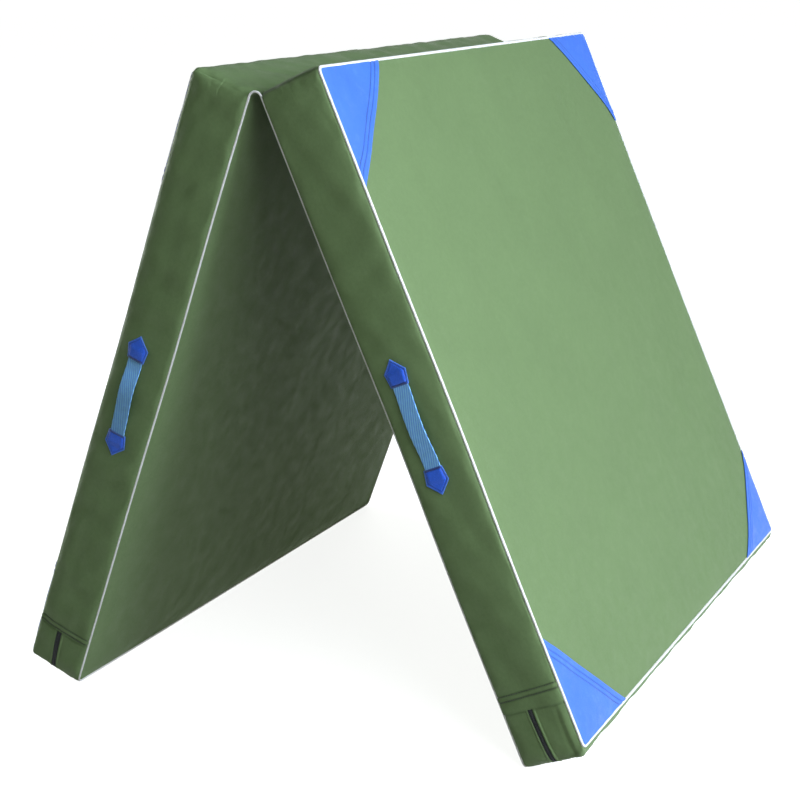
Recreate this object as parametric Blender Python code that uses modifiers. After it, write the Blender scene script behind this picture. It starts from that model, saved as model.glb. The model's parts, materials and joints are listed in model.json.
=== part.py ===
"""Folding crash landing mat: two foam panels in sewn canvas covers, hinged at a cloth fold, standing as an A-frame.

Metres, +Z up. The fold runs along Y, the mat stands on the XY plane and its centre is over the origin.
Every panel is modelled flat in its own frame and placed by its empty, which lies on the fold's hinge line:
u (local X) runs from the fold to the foot, v (local Y) across the mat, w (local Z) from base face to landing face.
"""
import math

import bmesh
import bpy
from mathutils import Matrix, Vector

# Driving dimensions of one panel
LENGTH = 1.000
WIDTH = 1.000
THICKNESS = 0.100
LEAN = math.radians(22.1)
FOLD_WIDTH = 0.014

# Cover
CLOTH = 0.0015
GAP = 0.0003
PIPING_RADIUS = 0.0025
PIPING_INSET = 0.0015
FOOT_CORNER = 0.0045
FIRM_FOAM = 0.030
CORNER_PATCH_LEG = 0.170
CORNER_PATCH_THICKNESS = 0.0010
FOLD_END_GAP = 0.0008
PIPING_START = 0.0015

# Carrying handles
HANDLE_CENTRE = 0.500
STRAP_WIDTH = 0.025
STRAP_THICKNESS = 0.0018
STRAP_SPAN = 0.120
STRAP_BOW = 0.016
STRAP_TAIL = 0.020
END_PATCH_TIP = 0.100
END_PATCH_SHOULDER = 0.082
END_PATCH_BASE = 0.059
END_PATCH_WIDE = 0.036
END_PATCH_NARROW = 0.029
END_PATCH_THICKNESS = 0.0012

# Zip
ZIP_SLOT = 0.0110
TAPE_THICKNESS = 0.0008
COIL_WIDTH = 0.0050
COIL_THICKNESS = 0.0016
SLIDER_LENGTH = 0.016
SLIDER_WIDTH = 0.010
SLIDER_PLATE = 0.0014
BAIL_WIRE = 0.0016
BAIL_SPAN = 0.0040
BAIL_HEIGHT = 0.0026
TAB_WIDTH = 0.009
TAB_LENGTH = 0.028
TAB_THICKNESS = 0.0014
TAB_BAR = 0.0008
TAB_WINDOW_WIDTH = 0.0030
TAB_WINDOW_LENGTH = 0.0080

# What differs between the panels: side of X, turn about Z, hem line, height of handles and zip over the base face
PANELS = {
    "right": {"side": 1, "turn": 0.0, "hem": 0.9185, "handle": 0.042, "zip": 0.045},
    "left": {"side": -1, "turn": math.pi, "hem": 0.9300, "handle": 0.058, "zip": 0.055},
}

# Sheets stop short of the piping by this much
MARGIN = PIPING_INSET + PIPING_RADIUS + GAP
# The fold's height puts the piping of the inner foot edges on the floor
HINGE_HEIGHT = (LENGTH - PIPING_INSET) * math.cos(LEAN) - PIPING_INSET * math.sin(LEAN) + PIPING_RADIUS
# Depths under a side face's outer surface: the tape is flush with the cloth's inner side, the coil lies on it
TAPE_DEPTH = CLOTH - TAPE_THICKNESS
COIL_DEPTH = TAPE_DEPTH - GAP - COIL_THICKNESS
SLIDER_BOTTOM = GAP - TAPE_DEPTH
SLIDER_CHANNEL = GAP - COIL_DEPTH
SLIDER_TOP = SLIDER_CHANNEL + SLIDER_PLATE
TAB_HEIGHT = SLIDER_TOP + BAIL_HEIGHT / 2

COLOURS = {
    "landing_canvas": ((0.115, 0.215, 0.100), 0.75, 0.0),
    "side_canvas": ((0.085, 0.150, 0.065), 0.78, 0.0),
    "base_canvas": ((0.075, 0.150, 0.070), 0.80, 0.0),
    "piping": ((0.80, 0.81, 0.80), 0.55, 0.0),
    "corner_patch": ((0.055, 0.155, 0.640), 0.50, 0.0),
    "leatherette": ((0.018, 0.080, 0.460), 0.45, 0.0),
    "webbing": ((0.060, 0.210, 0.640), 0.70, 0.0),
    "zip_tape": ((0.012, 0.014, 0.017), 0.85, 0.0),
    "zip_coil": ((0.010, 0.010, 0.012), 0.45, 0.0),
    "zip_metal": ((0.060, 0.060, 0.065), 0.35, 1.0),
    "soft_foam": ((0.780, 0.740, 0.560), 0.95, 0.0),
    "firm_foam": ((0.110, 0.120, 0.130), 0.90, 0.0),
}


def clear_scene():
    for obj in list(bpy.data.objects):
        bpy.data.objects.remove(obj, do_unlink=True)


def new_collection(name):
    collection = bpy.data.collections.new(name)
    bpy.context.scene.collection.children.link(collection)
    return collection


def make_material(name):
    colour, roughness, metallic = COLOURS[name]
    material = bpy.data.materials.new(name)
    material.use_nodes = True
    shader = material.node_tree.nodes["Principled BSDF"]
    shader.inputs["Base Color"].default_value = (*colour, 1.0)
    shader.inputs["Roughness"].default_value = roughness
    shader.inputs["Metallic"].default_value = metallic
    material.diffuse_color = (*colour, 1.0)
    return material


def place(obj, collection, parent, material):
    """Put a piece in its collection, under its empty, with its own material."""
    collection.objects.link(obj)
    obj.parent = parent
    if material:
        obj.data.materials.append(bpy.data.materials[material])
    return obj


def make_empty(name, collection, parent, matrix):
    empty = bpy.data.objects.new(name, None)
    empty.empty_display_size = 0.05
    collection.objects.link(empty)
    empty.parent = parent
    empty.matrix_basis = matrix
    return empty


def make_box(name, low, high):
    """A box between two corners, with its origin at its middle."""
    low, high = Vector(low), Vector(high)
    bm = bmesh.new()
    bmesh.ops.create_cube(bm, size=1.0)
    bmesh.ops.scale(bm, vec=high - low, verts=bm.verts)
    mesh = bpy.data.meshes.new(name)
    bm.to_mesh(mesh)
    bm.free()
    obj = bpy.data.objects.new(name, mesh)
    obj.location = (low + high) / 2
    return obj


def make_tube(name, points, radius, cyclic=False):
    """A round tube along a chain of points, with filled caps when it is open."""
    curve = bpy.data.curves.new(name, "CURVE")
    curve.dimensions = "3D"
    curve.bevel_depth = radius
    curve.bevel_resolution = 4
    curve.use_fill_caps = not cyclic
    spline = curve.splines.new("POLY")
    spline.points.add(len(points) - 1)
    for point, position in zip(spline.points, points):
        point.co = (*position, 1.0)
    spline.use_cyclic_u = cyclic
    return bpy.data.objects.new(name, curve)


def make_plate(name, outlines, thickness):
    """A flat plate in the local XY plane from one closed outline and any holes in it."""
    curve = bpy.data.curves.new(name, "CURVE")
    curve.dimensions = "2D"
    curve.fill_mode = "BOTH"
    curve.extrude = thickness / 2
    for outline in outlines:
        spline = curve.splines.new("POLY")
        spline.points.add(len(outline) - 1)
        for point, (x, y) in zip(spline.points, outline):
            point.co = (x, y, 0.0, 1.0)
        spline.use_cyclic_u = True
    return bpy.data.objects.new(name, curve)


def make_ribbon(name, path, low, high, thickness):
    """A sheet that follows a path of (u, v) points and spans low to high in w, thickened to the path's left."""
    bm = bmesh.new()
    verts = [bm.verts.new((u, v, low)) for u, v in path]
    edges = [bm.edges.new(pair) for pair in zip(verts, verts[1:])]
    raised = bmesh.ops.extrude_edge_only(bm, edges=edges)["geom"]
    top = [item for item in raised if isinstance(item, bmesh.types.BMVert)]
    bmesh.ops.translate(bm, verts=top, vec=(0.0, 0.0, high - low))
    mesh = bpy.data.meshes.new(name)
    bm.to_mesh(mesh)
    bm.free()
    obj = bpy.data.objects.new(name, mesh)
    shell = obj.modifiers.new("thickness", "SOLIDIFY")
    shell.thickness = thickness
    shell.offset = 1.0
    shell.use_even_offset = True
    return obj


def arc(centre, radius, start, end, steps=5):
    """Points along a circular arc in a plane, angles in degrees."""
    angles = [math.radians(start + (end - start) * step / steps) for step in range(steps + 1)]
    return [(centre[0] + radius * math.cos(a), centre[1] + radius * math.sin(a)) for a in angles]


def foot_path(start, depth):
    """The (u, v) line down one side, round the foot and up the other side, depth inside the outer surface."""
    half = WIDTH / 2 - depth
    radius = FOOT_CORNER - depth
    corner_u = LENGTH - FOOT_CORNER
    corner_v = WIDTH / 2 - FOOT_CORNER
    path = [(start, -half)]
    path += arc((corner_u, -corner_v), radius, -90, 0)
    path += arc((corner_u, corner_v), radius, 0, 90)
    path += [(start, half)]
    return path


def loop_path(depth):
    """The closed (u, v) line round a panel's four edges, depth inside the outer surface."""
    radius = FOOT_CORNER - depth
    near, far = FOOT_CORNER, LENGTH - FOOT_CORNER
    across = WIDTH / 2 - FOOT_CORNER
    corners = [(near, -across, 180), (far, -across, 270), (far, across, 0), (near, across, 90)]
    return [point for u, v, start in corners for point in arc((u, v), radius, start, start + 90)]


def panel_matrix(panel):
    """From a panel's flat frame to its place on the fold's hinge line."""
    along_slope = Vector((math.sin(LEAN), 0.0, -math.cos(LEAN)))
    outward = Vector((math.cos(LEAN), 0.0, math.sin(LEAN)))
    axes = Matrix((along_slope, (0.0, 1.0, 0.0), outward)).transposed().to_4x4()
    hinge = Matrix.Translation((panel["side"] * FOLD_WIDTH / 2, 0.0, HINGE_HEIGHT))
    return hinge @ Matrix.Rotation(panel["turn"], 4, "Z") @ axes


def add_foam(name, parts, empty):
    """Two foam layers fill the cover: a firm base and a soft landing layer, clear of the piping's seams."""
    inside = CLOTH + GAP
    split = inside + FIRM_FOAM
    across = WIDTH / 2 - MARGIN
    firm = make_box(f"{name}_firm_foam_base", (MARGIN, -across, inside), (LENGTH - MARGIN, across, split))
    soft = make_box(f"{name}_soft_foam_top", (MARGIN, -across, split + GAP),
                    (LENGTH - MARGIN, across, THICKNESS - inside))
    place(firm, parts, empty, "firm_foam")
    place(soft, parts, empty, "soft_foam")


def add_faces(name, parts, empty):
    """The landing face sheet and the base face sheet."""
    across = WIDTH / 2 - MARGIN
    landing = make_box(f"{name}_landing_face", (MARGIN, -across, THICKNESS - CLOTH),
                       (LENGTH - MARGIN, across, THICKNESS))
    base = make_box(f"{name}_base_face", (GAP, -across, 0.0), (LENGTH - MARGIN, across, CLOTH))
    place(landing, parts, empty, "landing_canvas")
    place(base, parts, empty, "base_canvas")


def add_gussets(name, panel, parts, empty):
    """Side walls down to the hem over the zip's ends, and the wall at the fold."""
    for label, world_side in (("front", -1), ("back", 1)):
        side = world_side * panel["side"]
        edges = sorted((side * WIDTH / 2, side * (WIDTH / 2 - CLOTH)))
        gusset = make_box(f"{name}_{label}_gusset", (0.0, edges[0], MARGIN),
                          (panel["hem"], edges[1], THICKNESS - MARGIN))
        place(gusset, parts, empty, "side_canvas")
    across = WIDTH / 2 - CLOTH - GAP
    hinge_end = make_box(f"{name}_hinge_end_gusset", (0.0, -across, CLOTH + GAP),
                         (CLOTH, across, THICKNESS - MARGIN))
    place(hinge_end, parts, empty, "side_canvas")


def add_foot_boxing(name, panel, parts, empty):
    """The U-shaped strips that close the foot on either side of the zip."""
    path = foot_path(panel["hem"] + GAP, 0.0)
    slot_low = panel["zip"] - ZIP_SLOT / 2
    slot_high = panel["zip"] + ZIP_SLOT / 2
    inner = make_ribbon(f"{name}_foot_boxing_inner", path, MARGIN, slot_low, CLOTH)
    outer = make_ribbon(f"{name}_foot_boxing_outer", path, slot_high, THICKNESS - MARGIN, CLOTH)
    place(inner, parts, empty, "side_canvas")
    place(outer, parts, empty, "side_canvas")


def add_piping(name, parts, empty):
    """A closed loop round the landing face, and a U round the base face, open at the fold."""
    loop = [(u, v, THICKNESS - PIPING_INSET) for u, v in loop_path(PIPING_INSET)]
    base = [(u, v, PIPING_INSET) for u, v in foot_path(PIPING_START, PIPING_INSET)]
    place(make_tube(f"{name}_landing_piping", loop, PIPING_RADIUS, cyclic=True), parts, empty, "piping")
    place(make_tube(f"{name}_base_piping", base, PIPING_RADIUS), parts, empty, "piping")


def add_corner_patches(name, panel, parts, empty):
    """A triangle of wear cloth sewn over each corner of the landing face."""
    height = THICKNESS + GAP + CORNER_PATCH_THICKNESS / 2
    leg = CORNER_PATCH_LEG - MARGIN
    for end, u, u_side in (("top", MARGIN, 1), ("foot", LENGTH - MARGIN, -1)):
        for label, world_side in (("front", -1), ("back", 1)):
            v_side = -world_side * panel["side"]
            outline = [(0.0, 0.0), (u_side * leg, 0.0), (0.0, v_side * leg)]
            patch = make_plate(f"{name}_{end}_{label}_corner_patch", [outline], CORNER_PATCH_THICKNESS)
            patch.location = (u, -v_side * (WIDTH / 2 - MARGIN), height)
            place(patch, parts, empty, "corner_patch")


def strap_path():
    """The strap's inner side as (along, out): flat tails under the patches and a smooth bow between them."""
    half = STRAP_SPAN / 2
    steps = 16
    path = [(-half - STRAP_TAIL, 0.0)]
    for step in range(steps + 1):
        along = -half + STRAP_SPAN * step / steps
        path.append((along, STRAP_BOW * (1 + math.cos(math.pi * along / half)) / 2))
    path.append((half + STRAP_TAIL, 0.0))
    return path


def add_handle(name, label, panel, world_side, parts, empty):
    """A webbing strap across a side face, each end held by a house-shaped leatherette patch."""
    # The handle's empty stands on the side face: local X towards the foot, local Z out of the mat
    side = world_side * panel["side"]
    matrix = Matrix.Translation((HANDLE_CENTRE, side * WIDTH / 2, panel["handle"]))
    matrix = matrix @ Matrix.Rotation(-side * math.pi / 2, 4, "X")
    handle = make_empty(f"{name}_{label}_handle", parts, empty, matrix)

    path = [(along, out + GAP) for along, out in strap_path()]
    half_width = STRAP_WIDTH / 2
    strap = make_ribbon(f"{name}_{label}_strap", path, -half_width, half_width, STRAP_THICKNESS)
    strap.rotation_euler = (math.pi / 2, 0.0, 0.0)
    place(strap, parts, handle, "webbing")

    height = 2 * GAP + STRAP_THICKNESS + END_PATCH_THICKNESS / 2
    for end, way in (("upper", -1), ("lower", 1)):
        outline = [
            (way * END_PATCH_TIP, 0.0),
            (way * END_PATCH_SHOULDER, END_PATCH_WIDE / 2),
            (way * END_PATCH_BASE, END_PATCH_NARROW / 2),
            (way * END_PATCH_BASE, -END_PATCH_NARROW / 2),
            (way * END_PATCH_SHOULDER, -END_PATCH_WIDE / 2),
        ]
        patch = make_plate(f"{name}_{label}_{end}_end_patch", [outline], END_PATCH_THICKNESS)
        patch.location = (0.0, 0.0, height)
        place(patch, parts, handle, "leatherette")


def add_zip(name, panel, parts, empty):
    """Two tapes that meet under a closed coil, round the foot from hem to hem."""
    start = panel["hem"] + GAP
    half_slot = ZIP_SLOT / 2 - GAP
    tape_path = foot_path(start, TAPE_DEPTH)
    middle = panel["zip"]
    inner = make_ribbon(f"{name}_zip_tape_inner", tape_path, middle - half_slot, middle - GAP / 2, TAPE_THICKNESS)
    outer = make_ribbon(f"{name}_zip_tape_outer", tape_path, middle + GAP / 2, middle + half_slot, TAPE_THICKNESS)
    coil = make_ribbon(f"{name}_zip_coil", foot_path(start, COIL_DEPTH),
                       middle - COIL_WIDTH / 2, middle + COIL_WIDTH / 2, COIL_THICKNESS)
    place(inner, parts, empty, "zip_tape")
    place(outer, parts, empty, "zip_tape")
    place(coil, parts, empty, "zip_coil")


def bail_outline():
    """The slider's wire bridge seen from the side, standing in the slider's top plate."""
    outer_span = BAIL_SPAN + BAIL_WIRE
    top = BAIL_HEIGHT + BAIL_WIRE
    root = -SLIDER_PLATE / 2
    bend = BAIL_WIRE
    outer = [(outer_span, root), (outer_span, top - bend), (outer_span - bend, top)]
    inner = [(BAIL_SPAN, root), (BAIL_SPAN, BAIL_HEIGHT - bend / 2), (BAIL_SPAN - bend / 2, BAIL_HEIGHT)]
    mirrored = [(-x, z) for x, z in reversed(outer)]
    return outer + mirrored + [(-x, z) for x, z in inner] + list(reversed(inner))


def add_slider(name, panel, parts, cutters, empty):
    """The zip slider at the closed end of the zip on the back side face, and its pull tab hanging from it."""
    # The slider's empty stands on the back face over the coil: local X along its travel, local Z out of the mat
    side = panel["side"]
    rest = panel["hem"] + GAP + SLIDER_LENGTH / 2
    matrix = Matrix.Translation((rest, side * WIDTH / 2, panel["zip"]))
    matrix = matrix @ Matrix.Rotation(-side * math.pi / 2, 4, "X")
    travel = make_empty(f"{name}_slider_travel", parts, empty, matrix)

    half_length, half_width = SLIDER_LENGTH / 2, SLIDER_WIDTH / 2
    slider = make_box(f"{name}_zip_slider", (-half_length, -half_width, SLIDER_BOTTOM),
                      (half_length, half_width, SLIDER_TOP))
    place(slider, parts, travel, "zip_metal")
    channel_width = COIL_WIDTH / 2 + GAP
    channel = make_box(f"{name}_slider_channel", (-SLIDER_LENGTH, -channel_width, -SLIDER_TOP),
                       (SLIDER_LENGTH, channel_width, SLIDER_CHANNEL))
    bail = make_plate(f"{name}_slider_bail", [bail_outline()], BAIL_WIRE)
    bail.rotation_euler = (math.pi / 2, 0.0, 0.0)
    bail.location = (0.0, 0.0, SLIDER_TOP)
    place(channel, cutters, travel, None)
    place(bail, cutters, travel, None)
    bail = curve_to_mesh(bail, cutters, travel)
    for tool, operation in ((bail, "UNION"), (channel, "DIFFERENCE")):
        tool.hide_render = True
        tool.display_type = "WIRE"
        cut = slider.modifiers.new(tool.name, "BOOLEAN")
        cut.solver = "MANIFOLD"
        cut.operation = operation
        cut.object = tool

    pivot = make_empty(f"{name}_pull_pivot", parts, travel, Matrix.Translation((0.0, 0.0, TAB_HEIGHT)))
    half_tab, half_window = TAB_WIDTH / 2, TAB_WINDOW_WIDTH / 2
    tip = arc((TAB_LENGTH - half_tab, 0.0), half_tab, -90, 90, steps=8)
    outline = [(-TAB_BAR, half_tab), (-TAB_BAR, -half_tab)] + tip
    window = [(TAB_BAR, -half_window), (TAB_WINDOW_LENGTH, -half_window),
              (TAB_WINDOW_LENGTH, half_window), (TAB_BAR, half_window)]
    tab = make_plate(f"{name}_zip_pull", [outline, window], TAB_THICKNESS)
    place(tab, parts, pivot, "zip_metal")


def curve_to_mesh(obj, collection, parent):
    """Replace a curve object by a mesh with welded caps, so that a Boolean can use it."""
    bpy.context.view_layer.update()
    evaluated = obj.evaluated_get(bpy.context.evaluated_depsgraph_get())
    mesh = bpy.data.meshes.new_from_object(evaluated)
    bm = bmesh.new()
    bm.from_mesh(mesh)
    bmesh.ops.remove_doubles(bm, verts=bm.verts, dist=1e-6)
    bm.to_mesh(mesh)
    bm.free()
    name, matrix = obj.name, obj.matrix_basis.copy()
    bpy.data.objects.remove(obj, do_unlink=True)
    solid = bpy.data.objects.new(name, mesh)
    collection.objects.link(solid)
    solid.parent = parent
    solid.matrix_basis = matrix
    return solid


def add_fold(parts):
    """The stretch of base sheet over the fold, and the piping that arches over its two ends."""
    place_at = Matrix.Translation((FOLD_WIDTH / 2, 0.0, HINGE_HEIGHT))
    empty = make_empty("fold_hinge", parts, None, place_at)
    start, end = -FOLD_WIDTH + GAP, -GAP
    across = WIDTH / 2 - MARGIN
    place(make_box("fold_strip", (start, -across, 0.0), (end, across, CLOTH)), parts, empty, "base_canvas")
    for label, world_side in (("front", -1), ("back", 1)):
        v = world_side * (WIDTH / 2 - PIPING_INSET)
        points = [(-FOLD_WIDTH + FOLD_END_GAP, v, PIPING_INSET), (-FOLD_END_GAP, v, PIPING_INSET)]
        place(make_tube(f"fold_{label}_piping", points, PIPING_RADIUS), parts, empty, "piping")


def add_panel(name, panel, parts, cutters):
    empty = make_empty(f"{name}_panel", parts, None, panel_matrix(panel))
    add_foam(name, parts, empty)
    add_faces(name, parts, empty)
    add_gussets(name, panel, parts, empty)
    add_foot_boxing(name, panel, parts, empty)
    add_piping(name, parts, empty)
    add_corner_patches(name, panel, parts, empty)
    add_handle(name, "front", panel, -1, parts, empty)
    add_handle(name, "back", panel, 1, parts, empty)
    add_zip(name, panel, parts, empty)
    add_slider(name, panel, parts, cutters, empty)


def main():
    clear_scene()
    parts = new_collection("crash_landing_mat")
    cutters = new_collection("cutters")
    for name in COLOURS:
        make_material(name)
    for name, panel in PANELS.items():
        add_panel(name, panel, parts, cutters)
    add_fold(parts)


main()
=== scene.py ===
"""The looks of the folding crash landing mat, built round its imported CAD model.

Each panel's cover is a closed box of cloth in the panel's own flat frame: u from the fold to the foot, v
across, w from the base face to the landing face. The box is pinned along its piped seams and blown up by a
cloth simulation, its swelling is capped as the foam would cap it, and it is cut along its seams into sheets.
"""
import json
import math

import bmesh
import bpy
import numpy as np
from mathutils import Matrix, Vector
from mathutils.bvhtree import BVHTree


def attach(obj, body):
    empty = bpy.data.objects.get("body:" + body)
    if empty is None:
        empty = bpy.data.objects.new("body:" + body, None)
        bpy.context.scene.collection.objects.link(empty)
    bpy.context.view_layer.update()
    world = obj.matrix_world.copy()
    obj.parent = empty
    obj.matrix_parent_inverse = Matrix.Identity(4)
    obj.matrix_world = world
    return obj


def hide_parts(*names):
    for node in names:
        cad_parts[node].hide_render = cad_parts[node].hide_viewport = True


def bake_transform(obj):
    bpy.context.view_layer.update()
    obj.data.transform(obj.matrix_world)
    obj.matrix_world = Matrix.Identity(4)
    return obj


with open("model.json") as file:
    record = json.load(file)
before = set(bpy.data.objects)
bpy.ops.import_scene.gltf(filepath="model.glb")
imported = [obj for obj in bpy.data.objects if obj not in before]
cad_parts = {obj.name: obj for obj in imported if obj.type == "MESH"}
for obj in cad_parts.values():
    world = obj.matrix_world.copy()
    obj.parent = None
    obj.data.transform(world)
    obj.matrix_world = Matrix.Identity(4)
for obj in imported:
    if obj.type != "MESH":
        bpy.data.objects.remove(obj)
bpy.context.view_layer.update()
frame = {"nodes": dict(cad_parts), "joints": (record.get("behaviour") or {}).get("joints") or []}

JOINTS = {joint["name"]: joint for joint in frame["joints"]}

# Camera, at the photograph's viewing angle
CAMERA_PLACE = (1.2269, -2.5043, 1.0846)
CAMERA_HEADING = math.radians(26.96)
CAMERA_TILT = math.radians(-14.17)
CAMERA_ROLL = math.radians(-1.79)
CAMERA_LENS = 76.48

# Cover
SEAM_INSET = 0.0015
CORNER_RADIUS = 0.008
# How far the landing face's seam is drawn in at the hinge end, the sides and the foot
SEAM_DRAWN_IN = {"right": (0.0010, 0.0010, 0.0105), "left": (0.0060, 0.0050, 0.0020)}
SEAM_PULL_REACH = 0.030
SEAM_ROUNDING = 0.008
# How much wider a strip would be cut, for each metre that its seam is drawn in; the widths worked out from it
# are not used
ROLL_SHARE = 0.9
SIDE_ROUND_OUT = 0.0028
FOLD_EDGE_RADIUS = 0.005
FACE_CELLS = 80
SIDE_CELLS = 24
FACE_SWELL = 0.0048
BASE_SWELL = 0.0045
SIDE_SWELL = 0.0030
ZIP_SWELL = 0.0015
ZIP_REACH = 0.060
ZIP_FULL_HOLD = 0.006
ZIP_HOLD_WIDTH = 0.026
CLOTH_THICKNESS = 0.0010
LANDING_PIPING_RADIUS = 0.0021
LANDING_PIPING_LIFT = {"right": 0.0010, "left": -0.0010}
BASE_PIPING_RADIUS = 0.0016
CAD_PIPING_PROUD = 0.001
FOLD_START = 0.003
SEAM_WANDER = 0.0009
FINE_STEPS = (0.0015, 0.003, 0.0045)
HEM_STEPS = (0.0012, 0.0024, 0.0040)
LINE_SPACING = 0.0012
SLOT_STEPS = (0.001, 0.002, 0.0035, 0.005)

# Points are dropped on the cover from PROBE_START above it, over PROBE_REACH
PROBE_START = 0.02
PROBE_REACH = 0.05

# How near counts as on an edge, on the cage and on the refined cover, whose flat places are single precision
ON_CAGE = 1e-6
ON_COVER = 1e-5

# Waves in the cloth, as (height, wavelength)
FACE_LONG_WAVE = (0.0009, 0.26)
FACE_SHORT_WAVE = (0.0004, 0.09)
FACE_RIM_WAVE = (0.00035, 0.030)
SIDE_LONG_WAVE = (0.0009, 0.080)
SIDE_SHORT_WAVE = (0.0004, 0.034)
SIDE_PUCKER = (0.0004, 0.019)
HINGE_END_FOLD = (0.0003, 0.040)
PATCH_WAVE = (0.0002, 0.045)
FOLD_RIPPLE = (0.0003, 0.05)
DETAIL_FADE = 0.006

# Grooves and ridges in the cloth, as (depth or share, width)
CORNER_GROOVE = {"right": (0.0, 0.0026), "left": (0.0008, 0.0026)}
PLEAT_HEIGHT = 0.083
PLEAT_RIDGE = (0.0006, 0.004)
PLEAT_VALLEY = (0.0009, 0.0034)
PLEAT_FROM, PLEAT_FULL = 0.905, 0.935
HEM_OFFSET = 0.0012
HEM_TUCK = (0.0007, 0.0016)
SLOT_RIDGE = (0.0007, 0.0010)
SLOT_CHANNEL = (0.0003, 0.0012)
LAP_GROOVE_DEPTH = 0.0011
# Darkening painted along seams, as (share, width): dust and painted shade along the lap's stitch rows and
# hem, painted shade only at the right panel's corner edge and on the boxing under the hem
FIRST_ROW_DUST_AND_SHADE = (0.5, 0.0013)
SECOND_ROW_DUST_AND_SHADE = (0.8, 0.0014)
HEM_DUST_AND_SHADE = (0.15, 0.0012)
EDGE_PAINTED_SHADE = (0.9, 0.0024)
FOOT_PAINTED_SHADE = (0.3, 0.0014)

# Seams and stitches
STITCH_PITCH = 0.0042
STITCH_LENGTH = 0.0032
STITCH_RADIUS = 0.0005
GROOVE_WIDTH = 0.0018
PATCH_LEG = 0.174
PATCH_LINES = (0.009, 0.017)
PATCH_THICKNESS = 0.0009
PATCH_RIM = 0.0004
PATCH_GAP = 0.0002
PATCH_HEM_LIFT = 0.0005
PATCH_STITCH_GROOVE = (0.0009, 0.0013)
PATCH_EDGE_DROP = (0.0005, 0.0010)
# Width of the dust and painted shade along the corner patches' stitch rows
PATCH_DUST_AND_SHADE_WIDTH = 0.0012
LAP_LINES = {"right": (0.0285, 0.0205), "left": (0.0110, 0.0030)}
LAP_LIFT = 0.0010
LAP_SKEW = {"right": 0.040, "left": 0.0}

# Handles, along the slope from the handle's centre
STRAP_WIDTH = 0.025
STRAP_THICKNESS = 0.0015
STRAP_SPAN = 0.120
STRAP_BOW = 0.0050
STRAP_TAIL = 0.020
RIB_PITCH = 0.0034
RIB_SLANT = math.radians(16)
RIB_HEIGHT = 0.00022
END_PATCH = ((0.099, 0.0), (0.081, 0.018), (0.0605, 0.0145))
END_PATCH_STITCH = 0.0027
END_PATCH_THICKNESS = 0.0011
END_PATCH_LIFT = 0.0014
END_PATCH_CROWN = (0.0004, 0.0025)
END_PATCH_GROOVE = (0.0007, 0.0010)
END_PATCH_EDGE_DROP = (0.0004, 0.0008)
END_PATCH_RIM_WIDTH = 0.0011
# Painted shade where the strap goes in under the end patch, and dust and painted shade along its stitches, as
# (share, width)
END_PATCH_MOUTH_SHADE = (0.9, 0.0016)
END_PATCH_STITCH_DUST_AND_SHADE = (0.6, 0.0009)
STITCH_PROUD = 0.0002
BAR_TACK_INSET = 0.0009
BAR_TACK_PITCH = 0.0011
BAR_TACK_SIZE = (0.0014, 0.0013, 0.0006)
# A skewed handle turns about a place this far up the slope from its centre
HANDLE_PIVOT = 0.08
HANDLE_SHIFT = {"right": -0.0030, "left": 0.0}
HANDLE_SKEW = {"right": 0.0, "left": -0.044}

# Zip
TAPE_WIDTH = 0.0052
TOOTH_PITCH = 0.0014
ZIP_CLOSING = {"right": 0.0014, "left": 0.0002}
ZIP_BEND = {"right": 0.0040, "left": -0.0040}
ZIP_BEND_REACH = 0.30
TAPE_GAP = 0.0002
TAPE_HIDDEN = 0.003
TAPE_SUNK = 0.0014
TEETH_SUNK = 0.0006
TEETH_STAGGER = 0.0008
TOOTH_SIZE = (0.0034, 0.00062, 0.00075)

# Weaves, by the pitch of their threads
CANVAS_WEAVE = 0.0013
PATCH_WEAVE = 0.0010
ZIP_WEAVE = 0.0009
YARN_PITCH = 0.0007
TWILL_PITCH = 0.0011

SEED = 20


# ---------------------------------------------------------------- the panels' own frames

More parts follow.
